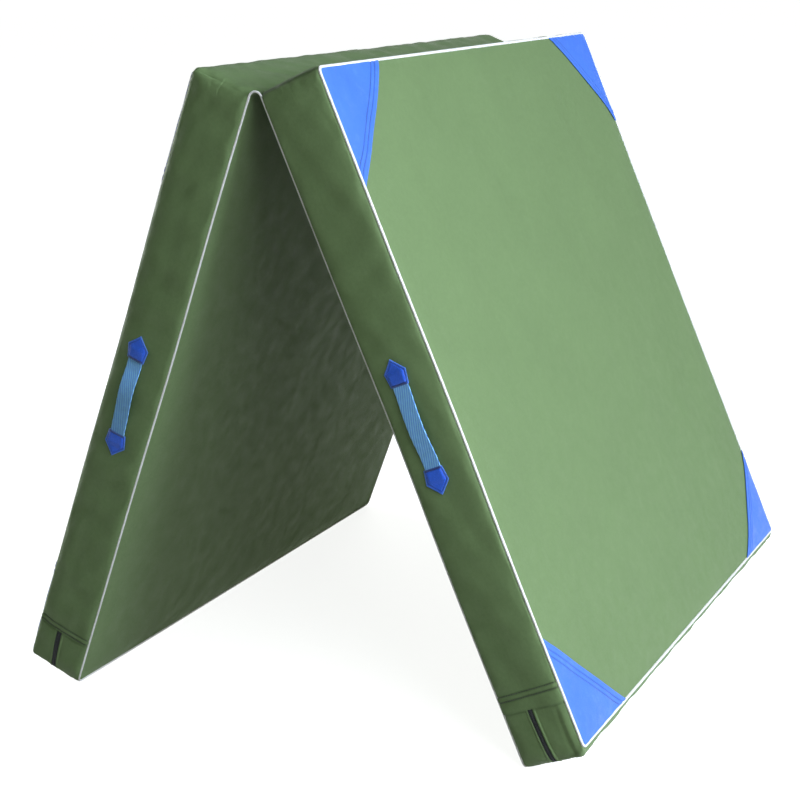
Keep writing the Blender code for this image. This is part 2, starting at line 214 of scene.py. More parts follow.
class Panel:
    """A panel's flat frame and the sizes that the rest of the script reads from the CAD nodes."""

    def __init__(self, name):
        self.name = name
        self.body = f"{name}_panel"
        self.side = 1 if name == "right" else -1
        self.seed = SEED + 10 * (name == "left")
        joint = JOINTS[f"fold_{name}"]
        lean = -math.radians(joint["range_deg"][0])
        slope = Vector((math.sin(lean), 0.0, -math.cos(lean)))
        outward = Vector((math.cos(lean), 0.0, math.sin(lean)))
        axes = Matrix((slope, (0.0, 1.0, 0.0), outward)).transposed().to_4x4()
        turn = Matrix.Rotation(0.0 if self.side == 1 else math.pi, 4, "Z")
        self.matrix = Matrix.Translation(joint["pos_m"]) @ turn @ axes
        self.inverse = self.matrix.inverted()
        self.length = self.node_box("landing_piping")[1].x - CAD_PIPING_PROUD
        self.half_width = self.node_box("front_gusset" if self.side == -1 else "back_gusset")[1].y
        self.thickness = self.node_box("landing_face")[1].z
        self.hem = self.node_box("front_gusset")[1].x
        self.slot = (self.node_box("foot_boxing_inner")[1].z, self.node_box("foot_boxing_outer")[0].z)
        strap = self.node_box("front_strap")
        self.handle_u = (strap[0].x + strap[1].x) / 2 + HANDLE_SHIFT[name]
        self.handle_skew = HANDLE_SKEW[name]
        self.handle_w = (strap[0].z + strap[1].z) / 2 + HANDLE_PIVOT * self.handle_skew

    def node_box(self, node):
        mesh = frame["nodes"][f"{self.name}_{node}"].data
        points = np.array([self.inverse @ v.co for v in mesh.vertices])
        return Vector(points.min(0)), Vector(points.max(0))

    def wander(self, points):
        """The slow wandering of a sewn cover's seams, the same for every piece on the panel."""
        u, v = points[:, 0], points[:, 1]
        fade = np.sin(math.pi * np.clip(u, 0, 1))
        phase = 1.7 * self.side
        moved = points.copy()
        moved[:, 0] += 0.5 * SEAM_WANDER * np.sin(13.0 * v + phase) * fade
        moved[:, 1] += SEAM_WANDER * np.sin(14.0 * u + 2.0 * v + phase) * fade
        moved[:, 2] += SEAM_WANDER * np.sin(10.0 * v + 7.0 * u + 2 * phase) * fade
        return moved

    def place(self, obj, material, slot, replaces=()):
        """Move a piece from the flat frame into the world, give it its material and body, and hide the CAD
        nodes it stands for.
        """
        set_points(obj.data, self.wander(mesh_points(obj.data)))
        obj.data.transform(self.matrix)
        finish_piece(obj, self.body, material, [f"{self.name}_{node}" for node in replaces])


# ---------------------------------------------------------------- small mesh tools

def new_mesh_object(name, points, faces):
    mesh = bpy.data.meshes.new(name)
    mesh.from_pydata(np.asarray(points, float).tolist(), [], [list(map(int, face)) for face in faces])
    mesh.update()
    mesh.shade_smooth()
    obj = bpy.data.objects.new(name, mesh)
    bpy.context.scene.collection.objects.link(obj)
    return obj


def apply_modifiers(obj):
    graph = bpy.context.evaluated_depsgraph_get()
    mesh = bpy.data.meshes.new_from_object(obj.evaluated_get(graph))
    old = obj.data
    obj.modifiers.clear()
    obj.data = mesh
    bpy.data.meshes.remove(old)


def read_vectors(items, count, field="co"):
    values = np.empty(count * 3)
    items.foreach_get(field, values)
    return values.reshape(-1, 3)


def mesh_points(mesh):
    return read_vectors(mesh.vertices, len(mesh.vertices))


def mesh_normals(mesh):
    return read_vectors(mesh.vertex_normals, len(mesh.vertices), "vector")


def set_points(mesh, points):
    mesh.vertices.foreach_set("co", np.asarray(points, float).ravel())
    mesh.update()


def set_cloth_coordinates(mesh, values):
    """Where each point lies on its flat cloth, in metres, which is what the weaves are drawn from."""
    attribute = mesh.attributes.new("cloth", "FLOAT_VECTOR", "POINT")
    attribute.data.foreach_set("vector", np.asarray(values, float).ravel())


def set_dust_and_painted_shade(mesh, values):
    """How deep in a seam each point lies, from 0 to 1: dust and painted shade darken the cloth's colour
    there.
    """
    attribute = mesh.attributes.new("crease", "FLOAT", "POINT")
    attribute.data.foreach_set("value", np.clip(np.asarray(values, float), 0, 1).ravel())


def stacked(*coordinates):
    """Points, one to a row, from three coordinates that broadcast against each other."""
    return np.stack(np.broadcast_arrays(*coordinates), -1).reshape(-1, 3)


def unit(vectors):
    return vectors / np.maximum(np.linalg.norm(vectors, axis=-1, keepdims=True), 1e-12)


def smoothstep(low, high, values):
    t = np.clip((values - low) / (high - low), 0, 1)
    return t * t * (3 - 2 * t)


def waves(points, wavelength, seed, count=8):
    """A smooth random field, a sum of sines whose wavelengths lie round the one given; about -1 to 1."""
    points = np.asarray(points, float)
    points = points.reshape(len(points), -1)
    rng = np.random.default_rng(seed)
    total = np.zeros(len(points))
    for _ in range(count):
        direction = unit(rng.normal(size=points.shape[1]))
        scale = 2 * math.pi / (wavelength * rng.uniform(0.65, 1.5))
        total += np.sin(points @ direction * scale + rng.uniform(0, 2 * math.pi))
    return total / math.sqrt(count)


def wavy(points, wave, seed):
    height, wavelength = wave
    return height * waves(points, wavelength, seed)


def groove(distance, width=GROOVE_WIDTH):
    return np.exp(-((distance / width) ** 2))


def grooved(distance, shape):
    depth, width = shape
    return depth * groove(distance, width)


def turned(faces, when):
    """The faces, turned over when the piece is a mirror image."""
    return [face[::-1] for face in faces] if when else faces


def grid_faces(rows, columns):
    """Quads of a grid of points stored row by row."""
    faces = []
    for row in range(rows - 1):
        for column in range(columns - 1):
            corner = row * columns + column
            faces.append((corner, corner + 1, corner + columns + 1, corner + columns))
    return faces


def along_chain(points, wanted):
    """Points at the given lengths along a chain, and the unit direction at each."""
    points = np.asarray(points, float)
    along = chain_lengths(points)

    def at(lengths):
        return np.stack([np.interp(lengths, along, points[:, axis]) for axis in range(points.shape[1])], 1)

    return at(wanted), unit(at(np.minimum(wanted + 0.001, along[-1])) - at(np.maximum(wanted - 0.001, 0)))


def chain_lengths(points):
    return np.concatenate([[0.0], np.cumsum(np.linalg.norm(np.diff(points, axis=0), axis=1))])


def evenly(points, pitch, margin=0.0):
    """Lengths at an even pitch along a chain, kept clear of its ends by the margin."""
    total = chain_lengths(np.asarray(points, float))[-1] - 2 * margin
    count = max(2, int(round(total / pitch)))
    return margin + (np.arange(count) + 0.5) * total / count


def thicken(obj, thickness, smooth_angle=50):
    shell = obj.modifiers.new("thickness", "SOLIDIFY")
    shell.thickness = thickness
    shell.offset = -1.0
    apply_modifiers(obj)
    obj.data.shade_smooth()
    obj.data.set_sharp_from_angle(angle=math.radians(smooth_angle))
    return obj


def scatter(name, template, places, ways, ups):
    """One object from many copies of a small template, each along its way with its own up."""
    verts, faces = template
    across = unit(np.cross(ups, ways))
    ups = unit(np.cross(ways, across))
    axes = np.stack([ways, across, ups], axis=1)
    points = places[:, None, :] + np.einsum("vk,nkd->nvd", verts, axes)
    faces = np.array(faces)
    copies = faces[None] + len(verts) * np.arange(len(places))[:, None, None]
    return new_mesh_object(name, points.reshape(-1, 3), copies.reshape(-1, faces.shape[1]))


def capsule(length, width, height, sides=8):
    """A short rounded bar of quads along X, for stitches and zip teeth. Width and height are halves."""
    rings = [(-0.5, 0.05), (-0.47, 0.55), (-0.36, 0.9), (0.0, 1.0), (0.36, 0.9), (0.47, 0.55), (0.5, 0.05)]
    verts = []
    for along, size in rings:
        for step in range(sides):
            angle = 2 * math.pi * step / sides
            verts.append((along * length, size * width * math.cos(angle), size * height * math.sin(angle)))
    faces = []
    for ring in range(len(rings) - 1):
        for step in range(sides):
            a, b = ring * sides + step, ring * sides + (step + 1) % sides
            faces.append((a, b, b + sides, a + sides))
    for start in (0, (len(rings) - 1) * sides):
        for step in range(0, sides - 2, 2):
            cap = (start, start + step + 1, start + step + 2, start + (step + 3) % sides)
            if len(set(cap)) == 4:
                faces.append(cap if start else cap[::-1])
    return np.array(verts), faces


def tube(name, points, radius, sides=14, cyclic=False, swell=None):
    """A round tube of quads along a chain of points, closed by rounded caps unless it is a loop."""
    points = np.asarray(points, float)
    count = len(points)
    if cyclic:
        ways = unit(np.roll(points, -1, 0) - np.roll(points, 1, 0))
    else:
        ways = unit(np.gradient(points, axis=0))
    up = np.cross(ways[0], [0.0, 0.0, 1.0])
    if np.linalg.norm(up) < 0.1:
        up = np.cross(ways[0], [0.0, 1.0, 0.0])
    angles = 2 * np.pi * np.arange(sides) / sides
    rings = []
    for index in range(count):
        up = unit(up - ways[index] * (up @ ways[index]))
        side = np.cross(ways[index], up)
        size = radius * (1 if swell is None else swell[index])
        rings.append(points[index] + size * (np.cos(angles)[:, None] * up + np.sin(angles)[:, None] * side))
    faces = []
    for index in range(count if cyclic else count - 1):
        nxt = (index + 1) % count
        shift = 0
        if cyclic and nxt == 0:
            shift = int(np.argmin(np.linalg.norm(rings[0] - rings[-1][0], axis=1)))
        for step in range(sides):
            a, b = index * sides + step, index * sides + (step + 1) % sides
            c, d = nxt * sides + (step + 1 + shift) % sides, nxt * sides + (step + shift) % sides
            faces.append((a, b, c, d))
    if not cyclic:
        faces.append(tuple(range(sides))[::-1])
        faces.append(tuple(range((count - 1) * sides, count * sides)))
    obj = new_mesh_object(name, np.concatenate(rings), faces)
    set_cloth_coordinates(obj.data, stacked(chain_lengths(points)[:, None], radius * angles, 0.0))
    return obj


def finish_piece(obj, body, material, replaces=()):
    """Material, body and the CAD nodes that a piece stands for."""
    obj.data.materials.clear()
    obj.data.materials.append(material)
    if body:
        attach(obj, body)
    if replaces:
        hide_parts(*replaces)


# ---------------------------------------------------------------- materials

class Nodes:
    """A material's node tree, with short calls for the nodes that the fabrics share."""

    def __init__(self, name):
        self.material = bpy.data.materials.new(name)
        self.material.use_nodes = True
        self.tree = self.material.node_tree
        self.shader = self.tree.nodes["Principled BSDF"]
        self.cloth = self.node("ShaderNodeAttribute", attribute_name="cloth").outputs["Vector"]

    def node(self, kind, **values):
        node = self.tree.nodes.new(kind)
        for key, value in values.items():
            setattr(node, key, value)
        return node

    def link(self, source, target):
        self.tree.links.new(source, target)

    def math(self, operation, first, second=None):
        node = self.node("ShaderNodeMath", operation=operation)
        for socket, value in zip(node.inputs, (first, second)):
            if isinstance(value, bpy.types.NodeSocket):
                self.link(value, socket)
            elif value is not None:
                socket.default_value = value
        return node.outputs[0]

    def noise(self, scale, detail=3.0, roughness=0.55, stretch=None):
        source = self.cloth
        if stretch:
            mapping = self.node("ShaderNodeMapping")
            mapping.inputs["Scale"].default_value = stretch
            self.link(source, mapping.inputs["Vector"])
            source = mapping.outputs[0]
        node = self.node("ShaderNodeTexNoise")
        node.inputs["Scale"].default_value = scale
        node.inputs["Detail"].default_value = detail
        node.inputs["Roughness"].default_value = roughness
        self.link(source, node.inputs["Vector"])
        return node.outputs["Fac"]

    def ramp(self, value, low, high, out_low, out_high):
        node = self.node("ShaderNodeMapRange")
        self.link(value, node.inputs["Value"])
        limits = {"From Min": low, "From Max": high, "To Min": out_low, "To Max": out_high}
        for socket, number in limits.items():
            node.inputs[socket].default_value = number
        return node.outputs[0]

    def brightness(self, colour, factor):
        """The colour times a factor that comes from a socket."""
        node = self.node("ShaderNodeMix", data_type="RGBA", blend_type="MULTIPLY")
        node.inputs["Factor"].default_value = 1.0
        if isinstance(colour, bpy.types.NodeSocket):
            self.link(colour, node.inputs["A"])
        else:
            node.inputs["A"].default_value = (*colour, 1.0)
        self.link(factor, node.inputs["B"])
        return node.outputs["Result"]

    def mix(self, factor, first, second):
        node = self.node("ShaderNodeMix", data_type="RGBA")
        self.link(factor, node.inputs["Factor"])
        for socket, colour in (("A", first), ("B", second)):
            if isinstance(colour, bpy.types.NodeSocket):
                self.link(colour, node.inputs[socket])
            else:
                node.inputs[socket].default_value = (*colour, 1.0)
        return node.outputs["Result"]

    def weave(self, pitch):
        """The height of a plain weave, warp over weft in turn."""
        split = self.node("ShaderNodeSeparateXYZ")
        self.link(self.cloth, split.inputs[0])
        x = self.math("SINE", self.math("MULTIPLY", split.outputs["X"], 2 * math.pi / pitch))
        y = self.math("SINE", self.math("MULTIPLY", split.outputs["Y"], 2 * math.pi / pitch))
        return self.math("MULTIPLY", x, y)

    def bump(self, height, distance):
        node = self.node("ShaderNodeBump")
        node.inputs["Strength"].default_value = 1.0
        node.inputs["Distance"].default_value = distance
        self.link(height, node.inputs["Height"])
        self.link(node.outputs["Normal"], self.shader.inputs["Normal"])

    def darkened_by_dust_and_shade(self, colour, depth):
        """The colour, darker by the depth given where the cloth is drawn into a seam: dust and painted shade.
        """
        # The crease attribute holds where dust and painted shade lie
        crease = self.node("ShaderNodeAttribute", attribute_name="crease").outputs["Fac"]
        return self.brightness(colour, self.ramp(crease, 0.0, 1.0, 1.0, 1.0 - depth))

    def set(self, **values):
        for name, value in values.items():
            self.shader.inputs[name.replace("_", " ").title().replace("Ior", "IOR")].default_value = value

    def colour(self, socket):
        self.link(socket, self.shader.inputs["Base Color"])

    def roughness(self, socket):
        self.link(socket, self.shader.inputs["Roughness"])


def canvas(name, colour, rubbed, roughness=0.62):
    """Coated canvas: a fine weave, threads of uneven thickness, faint clouds and paler rubbed places."""
    n = Nodes(name)
    clouds = n.ramp(n.noise(7.0, 4.0), 0.3, 0.7, 0.97, 1.03)
    mottle = n.ramp(n.noise(170.0, 3.0, 0.7), 0.25, 0.75, 0.93, 1.07)
    weave = n.weave(CANVAS_WEAVE)
    threads = n.ramp(weave, -1.0, 1.0, 0.94, 1.05)
    warp = n.noise(60.0, 2.0, 0.5, (1.0, 30.0, 1.0))
    streaks = n.ramp(warp, 0.3, 0.7, 0.97, 1.03)
    rub = n.ramp(n.noise(24.0, 6.0, 0.7), 0.58, 0.80, 0.0, 0.25)
    shade = n.math("MULTIPLY", n.math("MULTIPLY", clouds, mottle), n.math("MULTIPLY", threads, streaks))
    # Darker along seams, from the crease attribute: dust and painted shade
    n.colour(n.darkened_by_dust_and_shade(n.brightness(n.mix(rub, colour, rubbed), shade), 0.62))
    n.roughness(n.ramp(n.noise(40.0, 4.0), 0.3, 0.7, roughness - 0.06, roughness + 0.10))
    height = n.math("ADD", n.math("MULTIPLY", weave, 0.5), n.math("MULTIPLY", n.noise(420.0, 2.0), 0.9))
    n.bump(height, 0.00012)
    n.set(sheen_weight=0.04, sheen_roughness=0.45, specular_ior_level=0.32)
    return n.material


def coated_cloth(name, colour, pale, roughness=0.5):
    """The smooth coated cloth of the corner patches."""
    n = Nodes(name)
    clouds = n.ramp(n.noise(16.0, 4.0), 0.3, 0.7, 0.94, 1.05)
    weave = n.weave(PATCH_WEAVE)
    threads = n.ramp(weave, -1.0, 1.0, 0.97, 1.03)
    rub = n.ramp(n.noise(45.0, 6.0, 0.7), 0.55, 0.8, 0.0, 0.5)
    # Darker along the stitch rows, from the crease attribute: dust and painted shade
    n.colour(n.darkened_by_dust_and_shade(n.brightness(n.mix(rub, colour, pale), n.math("MULTIPLY", clouds, threads)), 0.55))
    n.roughness(n.ramp(n.noise(60.0, 4.0), 0.3, 0.7, roughness - 0.06, roughness + 0.10))
    n.bump(n.math("ADD", n.math("MULTIPLY", weave, 0.5), n.noise(300.0, 3.0)), 0.00008)
    n.set(sheen_weight=0.08, sheen_roughness=0.5, specular_ior_level=0.4)
    return n.material


def leatherette(name, colour, pale):
    """Grained artificial leather, of fine pebbles with creases between, paler along its cut edge."""
    n = Nodes(name)
    cells = n.node("ShaderNodeTexVoronoi", feature="DISTANCE_TO_EDGE")
    cells.inputs["Scale"].default_value = 700.0
    n.link(n.cloth, cells.inputs["Vector"])
    pebbles = n.ramp(cells.outputs["Distance"], 0.0, 0.3, 0.0, 1.0)
    worn = n.ramp(n.noise(90.0, 5.0), 0.55, 0.8, 0.0, 0.25)
    cut_edge = n.node("ShaderNodeAttribute", attribute_name="rim").outputs["Fac"]
    pale_share = n.math("MAXIMUM", worn, n.math("MULTIPLY", cut_edge, 0.55))
    grained = n.brightness(n.mix(pale_share, colour, pale), n.ramp(pebbles, 0.0, 1.0, 0.78, 1.04))
    # Darker at the strap's mouth and along the stitches, from the crease attribute: dust and painted shade
    n.colour(n.darkened_by_dust_and_shade(grained, 0.85))
    n.roughness(n.ramp(pebbles, 0.0, 1.0, 0.62, 0.44))
    n.bump(n.math("ADD", pebbles, n.noise(160.0, 3.0)), 0.00018)
    n.set(specular_ior_level=0.45, coat_weight=0.08, coat_roughness=0.4)
    return n.material


def webbing(name, colour, groove_colour):
    """Twilled webbing: long slanting ribs, darker between, with a fuzz of fine fibre."""
    n = Nodes(name)
    split = n.node("ShaderNodeSeparateXYZ")
    n.link(n.cloth, split.inputs[0])
    slant = n.math("ADD", n.math("MULTIPLY", split.outputs["X"], math.sin(RIB_SLANT)),
                   n.math("MULTIPLY", split.outputs["Y"], math.cos(RIB_SLANT)))
    ribs = n.math("SINE", n.math("MULTIPLY", slant, 2 * math.pi / RIB_PITCH))
    yarns = n.math("SINE", n.math("MULTIPLY", split.outputs["X"], 2 * math.pi / YARN_PITCH))
    fuzz = n.noise(120.0)
    tone = n.math("MULTIPLY", n.ramp(yarns, -1.0, 1.0, 0.94, 1.05), n.ramp(fuzz, 0.3, 0.7, 0.93, 1.06))
    n.colour(n.brightness(n.mix(n.ramp(ribs, -0.9, 0.6, 1.0, 0.0), colour, groove_colour), tone))
    n.roughness(n.ramp(n.noise(300.0), 0.3, 0.7, 0.66, 0.82))
    n.bump(n.math("ADD", n.math("ADD", ribs, n.math("MULTIPLY", yarns, 0.4)), n.noise(900.0)), 0.00012)
    n.set(sheen_weight=0.3, sheen_roughness=0.4, specular_ior_level=0.35)
    return n.material


def thread(name, colour):
    """Sewing thread, two plies twisted."""
    n = Nodes(name)
    n.colour(n.brightness(colour, n.ramp(n.noise(900.0, 2.0), 0.3, 0.7, 0.8, 1.15)))
    n.roughness(n.ramp(n.noise(500.0), 0.3, 0.7, 0.5, 0.7))
    n.bump(n.noise(2500.0, 1.0), 0.0001)
    n.set(sheen_weight=0.2)
    return n.material


def bias_tape(name, colour, soiled):
    """The white cloth wrapped round the piping cord: a fine slanting weave, slightly soiled."""
    n = Nodes(name)
    split = n.node("ShaderNodeSeparateXYZ")
    n.link(n.cloth, split.inputs[0])
    slant = n.math("ADD", split.outputs["X"], split.outputs["Y"])
    twill = n.math("SINE", n.math("MULTIPLY", slant, 2 * math.pi / TWILL_PITCH))
    soil = n.ramp(n.noise(22.0, 6.0, 0.7), 0.5, 0.8, 0.0, 0.8)
    n.colour(n.brightness(n.mix(soil, colour, soiled), n.ramp(twill, -1.0, 1.0, 0.95, 1.03)))
    n.roughness(n.ramp(n.noise(200.0), 0.3, 0.7, 0.55, 0.72))
    n.bump(n.math("ADD", twill, n.noise(600.0)), 0.0001)
    n.set(sheen_weight=0.7, sheen_roughness=0.5)
    return n.material


def zip_tape(name):
    n = Nodes(name)
    weave = n.weave(ZIP_WEAVE)
    n.colour(n.brightness((0.012, 0.015, 0.020), n.ramp(weave, -1.0, 1.0, 0.7, 1.4)))
    n.roughness(n.ramp(n.noise(300.0), 0.3, 0.7, 0.7, 0.88))
    n.bump(weave, 0.00015)
    n.set(sheen_weight=0.25, sheen_roughness=0.5)
    return n.material


def moulded(name, colour, roughness):
    """Moulded nylon, such as the zip's teeth."""
    n = Nodes(name)
    n.colour(n.brightness(colour, n.ramp(n.noise(400.0), 0.3, 0.7, 0.85, 1.2)))
    n.roughness(n.ramp(n.noise(200.0), 0.3, 0.7, roughness - 0.08, roughness + 0.1))
    n.bump(n.noise(1500.0, 1.0), 0.00003)
    n.set(specular_ior_level=0.5)
    return n.material


def enamelled_metal(name, colour):
    """Black enamelled die-cast metal with worn specks, drawn from places in the object and not on cloth."""
    n = Nodes(name)
    n.cloth = n.node("ShaderNodeTexCoord").outputs["Object"]
    worn = n.ramp(n.noise(260.0, 6.0, 0.75), 0.58, 0.72, 0.0, 1.0)
    n.colour(n.mix(worn, colour, (0.22, 0.21, 0.20)))
    n.roughness(n.ramp(n.noise(500.0), 0.3, 0.7, 0.28, 0.45))
    n.bump(n.noise(900.0, 2.0), 0.00004)
    n.set(metallic=0.85, specular_ior_level=0.5)
    return n.material


GREEN = (0.124, 0.199, 0.078)
RUBBED_GREEN = (0.172, 0.248, 0.122)
BLUE = (0.046, 0.162, 0.640)
PALE_BLUE = (0.110, 0.260, 0.720)
MATERIALS = {
    "landing_canvas": canvas("landing_canvas_looks", GREEN, RUBBED_GREEN),
    "side_canvas": canvas("side_canvas_looks", GREEN, RUBBED_GREEN),
    "base_canvas": canvas("base_canvas_looks", GREEN, RUBBED_GREEN, 0.68),
    "piping": bias_tape("piping_looks", (0.93, 0.94, 0.92), (0.76, 0.76, 0.72)),
    "corner_patch": coated_cloth("corner_patch_looks", BLUE, PALE_BLUE),
    "leatherette": leatherette("leatherette_looks", (0.016, 0.128, 0.820), (0.200, 0.420, 0.950)),
    "webbing": webbing("webbing_looks", (0.270, 0.640, 1.000), (0.120, 0.350, 0.920)),
    "blue_thread": thread("blue_thread_looks", (0.008, 0.022, 0.120)),
    "green_thread": thread("green_thread_looks", (0.016, 0.026, 0.012)),
    "zip_tape": zip_tape("zip_tape_looks"),
    "zip_coil": moulded("zip_coil_looks", (0.014, 0.016, 0.020), 0.38),
    "zip_metal": enamelled_metal("zip_metal_looks", (0.020, 0.020, 0.022)),
}


# ---------------------------------------------------------------- the cover as one box of cloth

LANDING, BASE, LOW_V, HIGH_V, HINGE_END, FOOT = range(6)


def graded(low, high, cells, moved=(), added=()):
    """Grid lines from low to high, closer near both ends, some moved onto exact values and others added."""
    t = np.linspace(0.0, 1.0, cells + 1)
    eased = 0.25 * t + 0.75 * (1 - np.cos(math.pi * t)) / 2
    lines = low + (high - low) * eased
    for value in moved:
        inner = np.argmin(np.abs(lines[1:-1] - value)) + 1
        lines[inner] = value
    if added:
        near = np.array([np.min(np.abs(np.array(added) - line)) < LINE_SPACING for line in lines])
        keep = ~near | np.isin(lines, moved) | (lines == low) | (lines == high)
        lines = np.unique(np.concatenate([lines[keep], added]))
    return lines


class Shell:
    """The closed box of cloth: where each vertex lies on the flat box, where it is now, and quads by side."""

    def __init__(self, panel):
        self.panel = panel
        half = panel.half_width - SEAM_INSET
        stitched = [panel.hem - line for line in LAP_LINES[panel.name]]
        around = [-step for step in FINE_STEPS[::-1]] + [0.0] + list(FINE_STEPS)
        added = [line + step for line in stitched for step in around]
        added += [panel.hem + step for step in HEM_STEPS]
        self.u = graded(0.0, panel.length - SEAM_INSET, FACE_CELLS, (panel.hem,), sorted(set(added)))
        self.v = graded(-half, half, FACE_CELLS)
        rolled = [edge + way * step for edge, way in zip(panel.slot, (-1, 1)) for step in SLOT_STEPS]
        self.w = graded(SEAM_INSET, panel.thickness - SEAM_INSET, SIDE_CELLS, panel.slot, sorted(rolled))
        self.build_cage()
        self.inflate()
        self.refine()
        self.add_detail()

    def build_cage(self):
        index, flat, quads, sides = {}, [], [], []
        last_u, last_v, last_w = len(self.u) - 1, len(self.v) - 1, len(self.w) - 1

        def vertex(i, j, k):
            if (i, j, k) not in index:
                index[i, j, k] = len(flat)
                flat.append((self.u[i], self.v[j], self.w[k]))
            return index[i, j, k]

        def side(number, corner, first, second):
            for a in range(first):
                for b in range(second):
                    quads.append([vertex(*corner(a + x, b + y)) for x, y in ((0, 0), (1, 0), (1, 1), (0, 1))])
                    sides.append(number)

        side(LANDING, lambda a, b: (a, b, last_w), last_u, last_v)
        side(BASE, lambda a, b: (a, b, 0), last_u, last_v)
        side(LOW_V, lambda a, b: (a, 0, b), last_u, last_w)
        side(HIGH_V, lambda a, b: (a, last_v, b), last_u, last_w)
        side(HINGE_END, lambda a, b: (0, a, b), last_v, last_w)
        side(FOOT, lambda a, b: (last_u, a, b), last_v, last_w)
        self.flat = np.array(flat)
        self.sides = np.array(sides)
        self.points = self.rounded(self.flat)
        self.quads = self.outward(self.points, quads)

    def outward(self, points, quads):
        """The same quads, all turned to face out."""
        obj = new_mesh_object("turning", points, quads)
        mesh = bmesh.new()
        mesh.from_mesh(obj.data)
        bmesh.ops.recalc_face_normals(mesh, faces=mesh.faces)
        turned = np.array([[vertex.index for vertex in face.verts] for face in mesh.faces])
        mesh.free()
        bpy.data.objects.remove(obj, do_unlink=True)
        return turned

    def rounded(self, flat):
        """Round the four corners of the plan, and the edge where the base face meets the fold."""
        points = flat.copy()

        def round_edge(first, second, corner, signs, radius):
            x = radius - signs[0] * (corner[0] - flat[:, first])
            y = radius - signs[1] * (corner[1] - flat[:, second])
            near = (x > 0) & (y > 0)
            disc_x = x * np.sqrt(np.maximum(1 - y * y / (2 * radius * radius), 0))
            disc_y = y * np.sqrt(np.maximum(1 - x * x / (2 * radius * radius), 0))
            points[near, first] += (signs[0] * (disc_x - x))[near]
            points[near, second] += (signs[1] * (disc_y - y))[near]

        for u_edge, u_sign in ((self.u[0], -1), (self.u[-1], 1)):
            for v_edge, v_sign in ((self.v[0], -1), (self.v[-1], 1)):
                round_edge(0, 1, (u_edge, v_edge), (u_sign, v_sign), CORNER_RADIUS)
        round_edge(0, 2, (self.u[0], self.w[0]), (-1, -1), FOLD_EDGE_RADIUS)
        return self.shifted(points)

    def shifted(self, points):
        """Draw the landing face's seam in, so that the strips round the sides roll over towards it."""
        depth = np.clip(self.w[-1] - points[:, 2], 0, SEAM_ROUNDING) / SEAM_ROUNDING
        share = 1 - np.sqrt(1 - (1 - depth) ** 2)
        hinge, sides, foot = SEAM_DRAWN_IN[self.panel.name]
        moved = points.copy()
        for axis, lines, at_low, at_high in ((0, self.u, hinge, foot), (1, self.v, sides, sides)):
            low = np.exp(-np.maximum(points[:, axis] - lines[0], 0) / SEAM_PULL_REACH)
            high = np.exp(-np.maximum(lines[-1] - points[:, axis], 0) / SEAM_PULL_REACH)
            moved[:, axis] += share * (at_low * low - at_high * high)
        return moved

    def on_seam(self):
        """Vertices on the landing face's four edges and the base face's four edges."""
        return self.on_face() & (self.rim_distance() < ON_CAGE)

    def on_face(self):
        return (self.flat[:, 2] < self.w[0] + ON_CAGE) | (self.flat[:, 2] > self.w[-1] - ON_CAGE)

    def rim_distance(self):
        u, v = self.flat[:, 0], self.flat[:, 1]
        return np.minimum.reduce([u - self.u[0], self.u[-1] - u, v - self.v[0], self.v[-1] - v])

    def swell_cap(self):
        """How far the foam lets the cloth stand out: little where the zip is sewn in."""
        w = self.flat[:, 2]
        cap = SIDE_SWELL + (0.0002 - SIDE_SWELL) * self.zip_hold()
        cap[w > self.w[-1] - ON_CAGE] = FACE_SWELL
        cap[w < self.w[0] + ON_CAGE] = BASE_SWELL
        return cap

    def zip_hold(self):
        """1 along the back stretch of the zip, where the cloth lies on the CAD's surface, 0 away from it."""
        hem = self.panel.hem
        slot = sum(self.panel.slot) / 2
        near = np.exp(-(((self.flat[:, 2] - slot) / ZIP_HOLD_WIDTH) ** 2))
        back = smoothstep(self.v[-1] - ZIP_REACH, self.v[-1], self.flat[:, 1] * self.panel.side)
        return near * back * smoothstep(hem - ZIP_REACH, hem - ZIP_FULL_HOLD, self.flat[:, 0])

    def side_roundness(self):
        """How far the side strips roll out beyond their seams, as the foam's edges push them."""
        w = self.flat[:, 2]
        above = np.clip((self.w[-1] - w) / SEAM_ROUNDING, 0, 1)
        below = np.clip((w - self.w[0]) / (0.8 * SEAM_ROUNDING), 0, 1)
        profile = np.sqrt(1 - (1 - above) ** 2) * np.sqrt(1 - (1 - below) ** 2)
        hold = self.zip_hold()
        roundness = SIDE_ROUND_OUT * (1 - hold) + ZIP_SWELL * hold
        return roundness * profile * ~self.on_face()

    def inflate(self):
        obj = new_mesh_object(f"{self.panel.name}_cover_cage", self.points, self.quads)
        normals = mesh_normals(obj.data)
        swelling = self.simulate(obj) - self.points
        bpy.data.objects.remove(obj, do_unlink=True)
        cap = self.swell_cap()
        outward = np.sum(swelling * normals, axis=1)
        height = cap * np.tanh(outward / cap) + self.side_roundness()
        self.points = self.points + height[:, None] * normals

    def simulate(self, obj):
        free = ~self.on_seam()
        start = self.points.copy()
        start[free] += np.random.default_rng(self.panel.seed).normal(scale=0.0003, size=(free.sum(), 3))
        set_points(obj.data, start)
        pins = obj.vertex_groups.new(name="seams")
        pins.add([int(i) for i in np.flatnonzero(~free)], 1.0, "REPLACE")
        cloth = obj.modifiers.new("cover", "CLOTH")
        settings = cloth.settings
        settings.quality = 4
        settings.mass = 0.2
        settings.tension_stiffness = 25
        settings.compression_stiffness = 25
        settings.shear_stiffness = 10
        settings.bending_stiffness = 2
        settings.vertex_group_mass = "seams"
        settings.use_pressure = True
        settings.uniform_pressure_force = 4
        settings.effector_weights.gravity = 0
        cloth.point_cache.frame_start = 1
        cloth.point_cache.frame_end = 20
        for step in range(1, 21):
            bpy.context.scene.frame_set(step)
        apply_modifiers(obj)
        bpy.context.scene.frame_set(1)
        return mesh_points(obj.data)

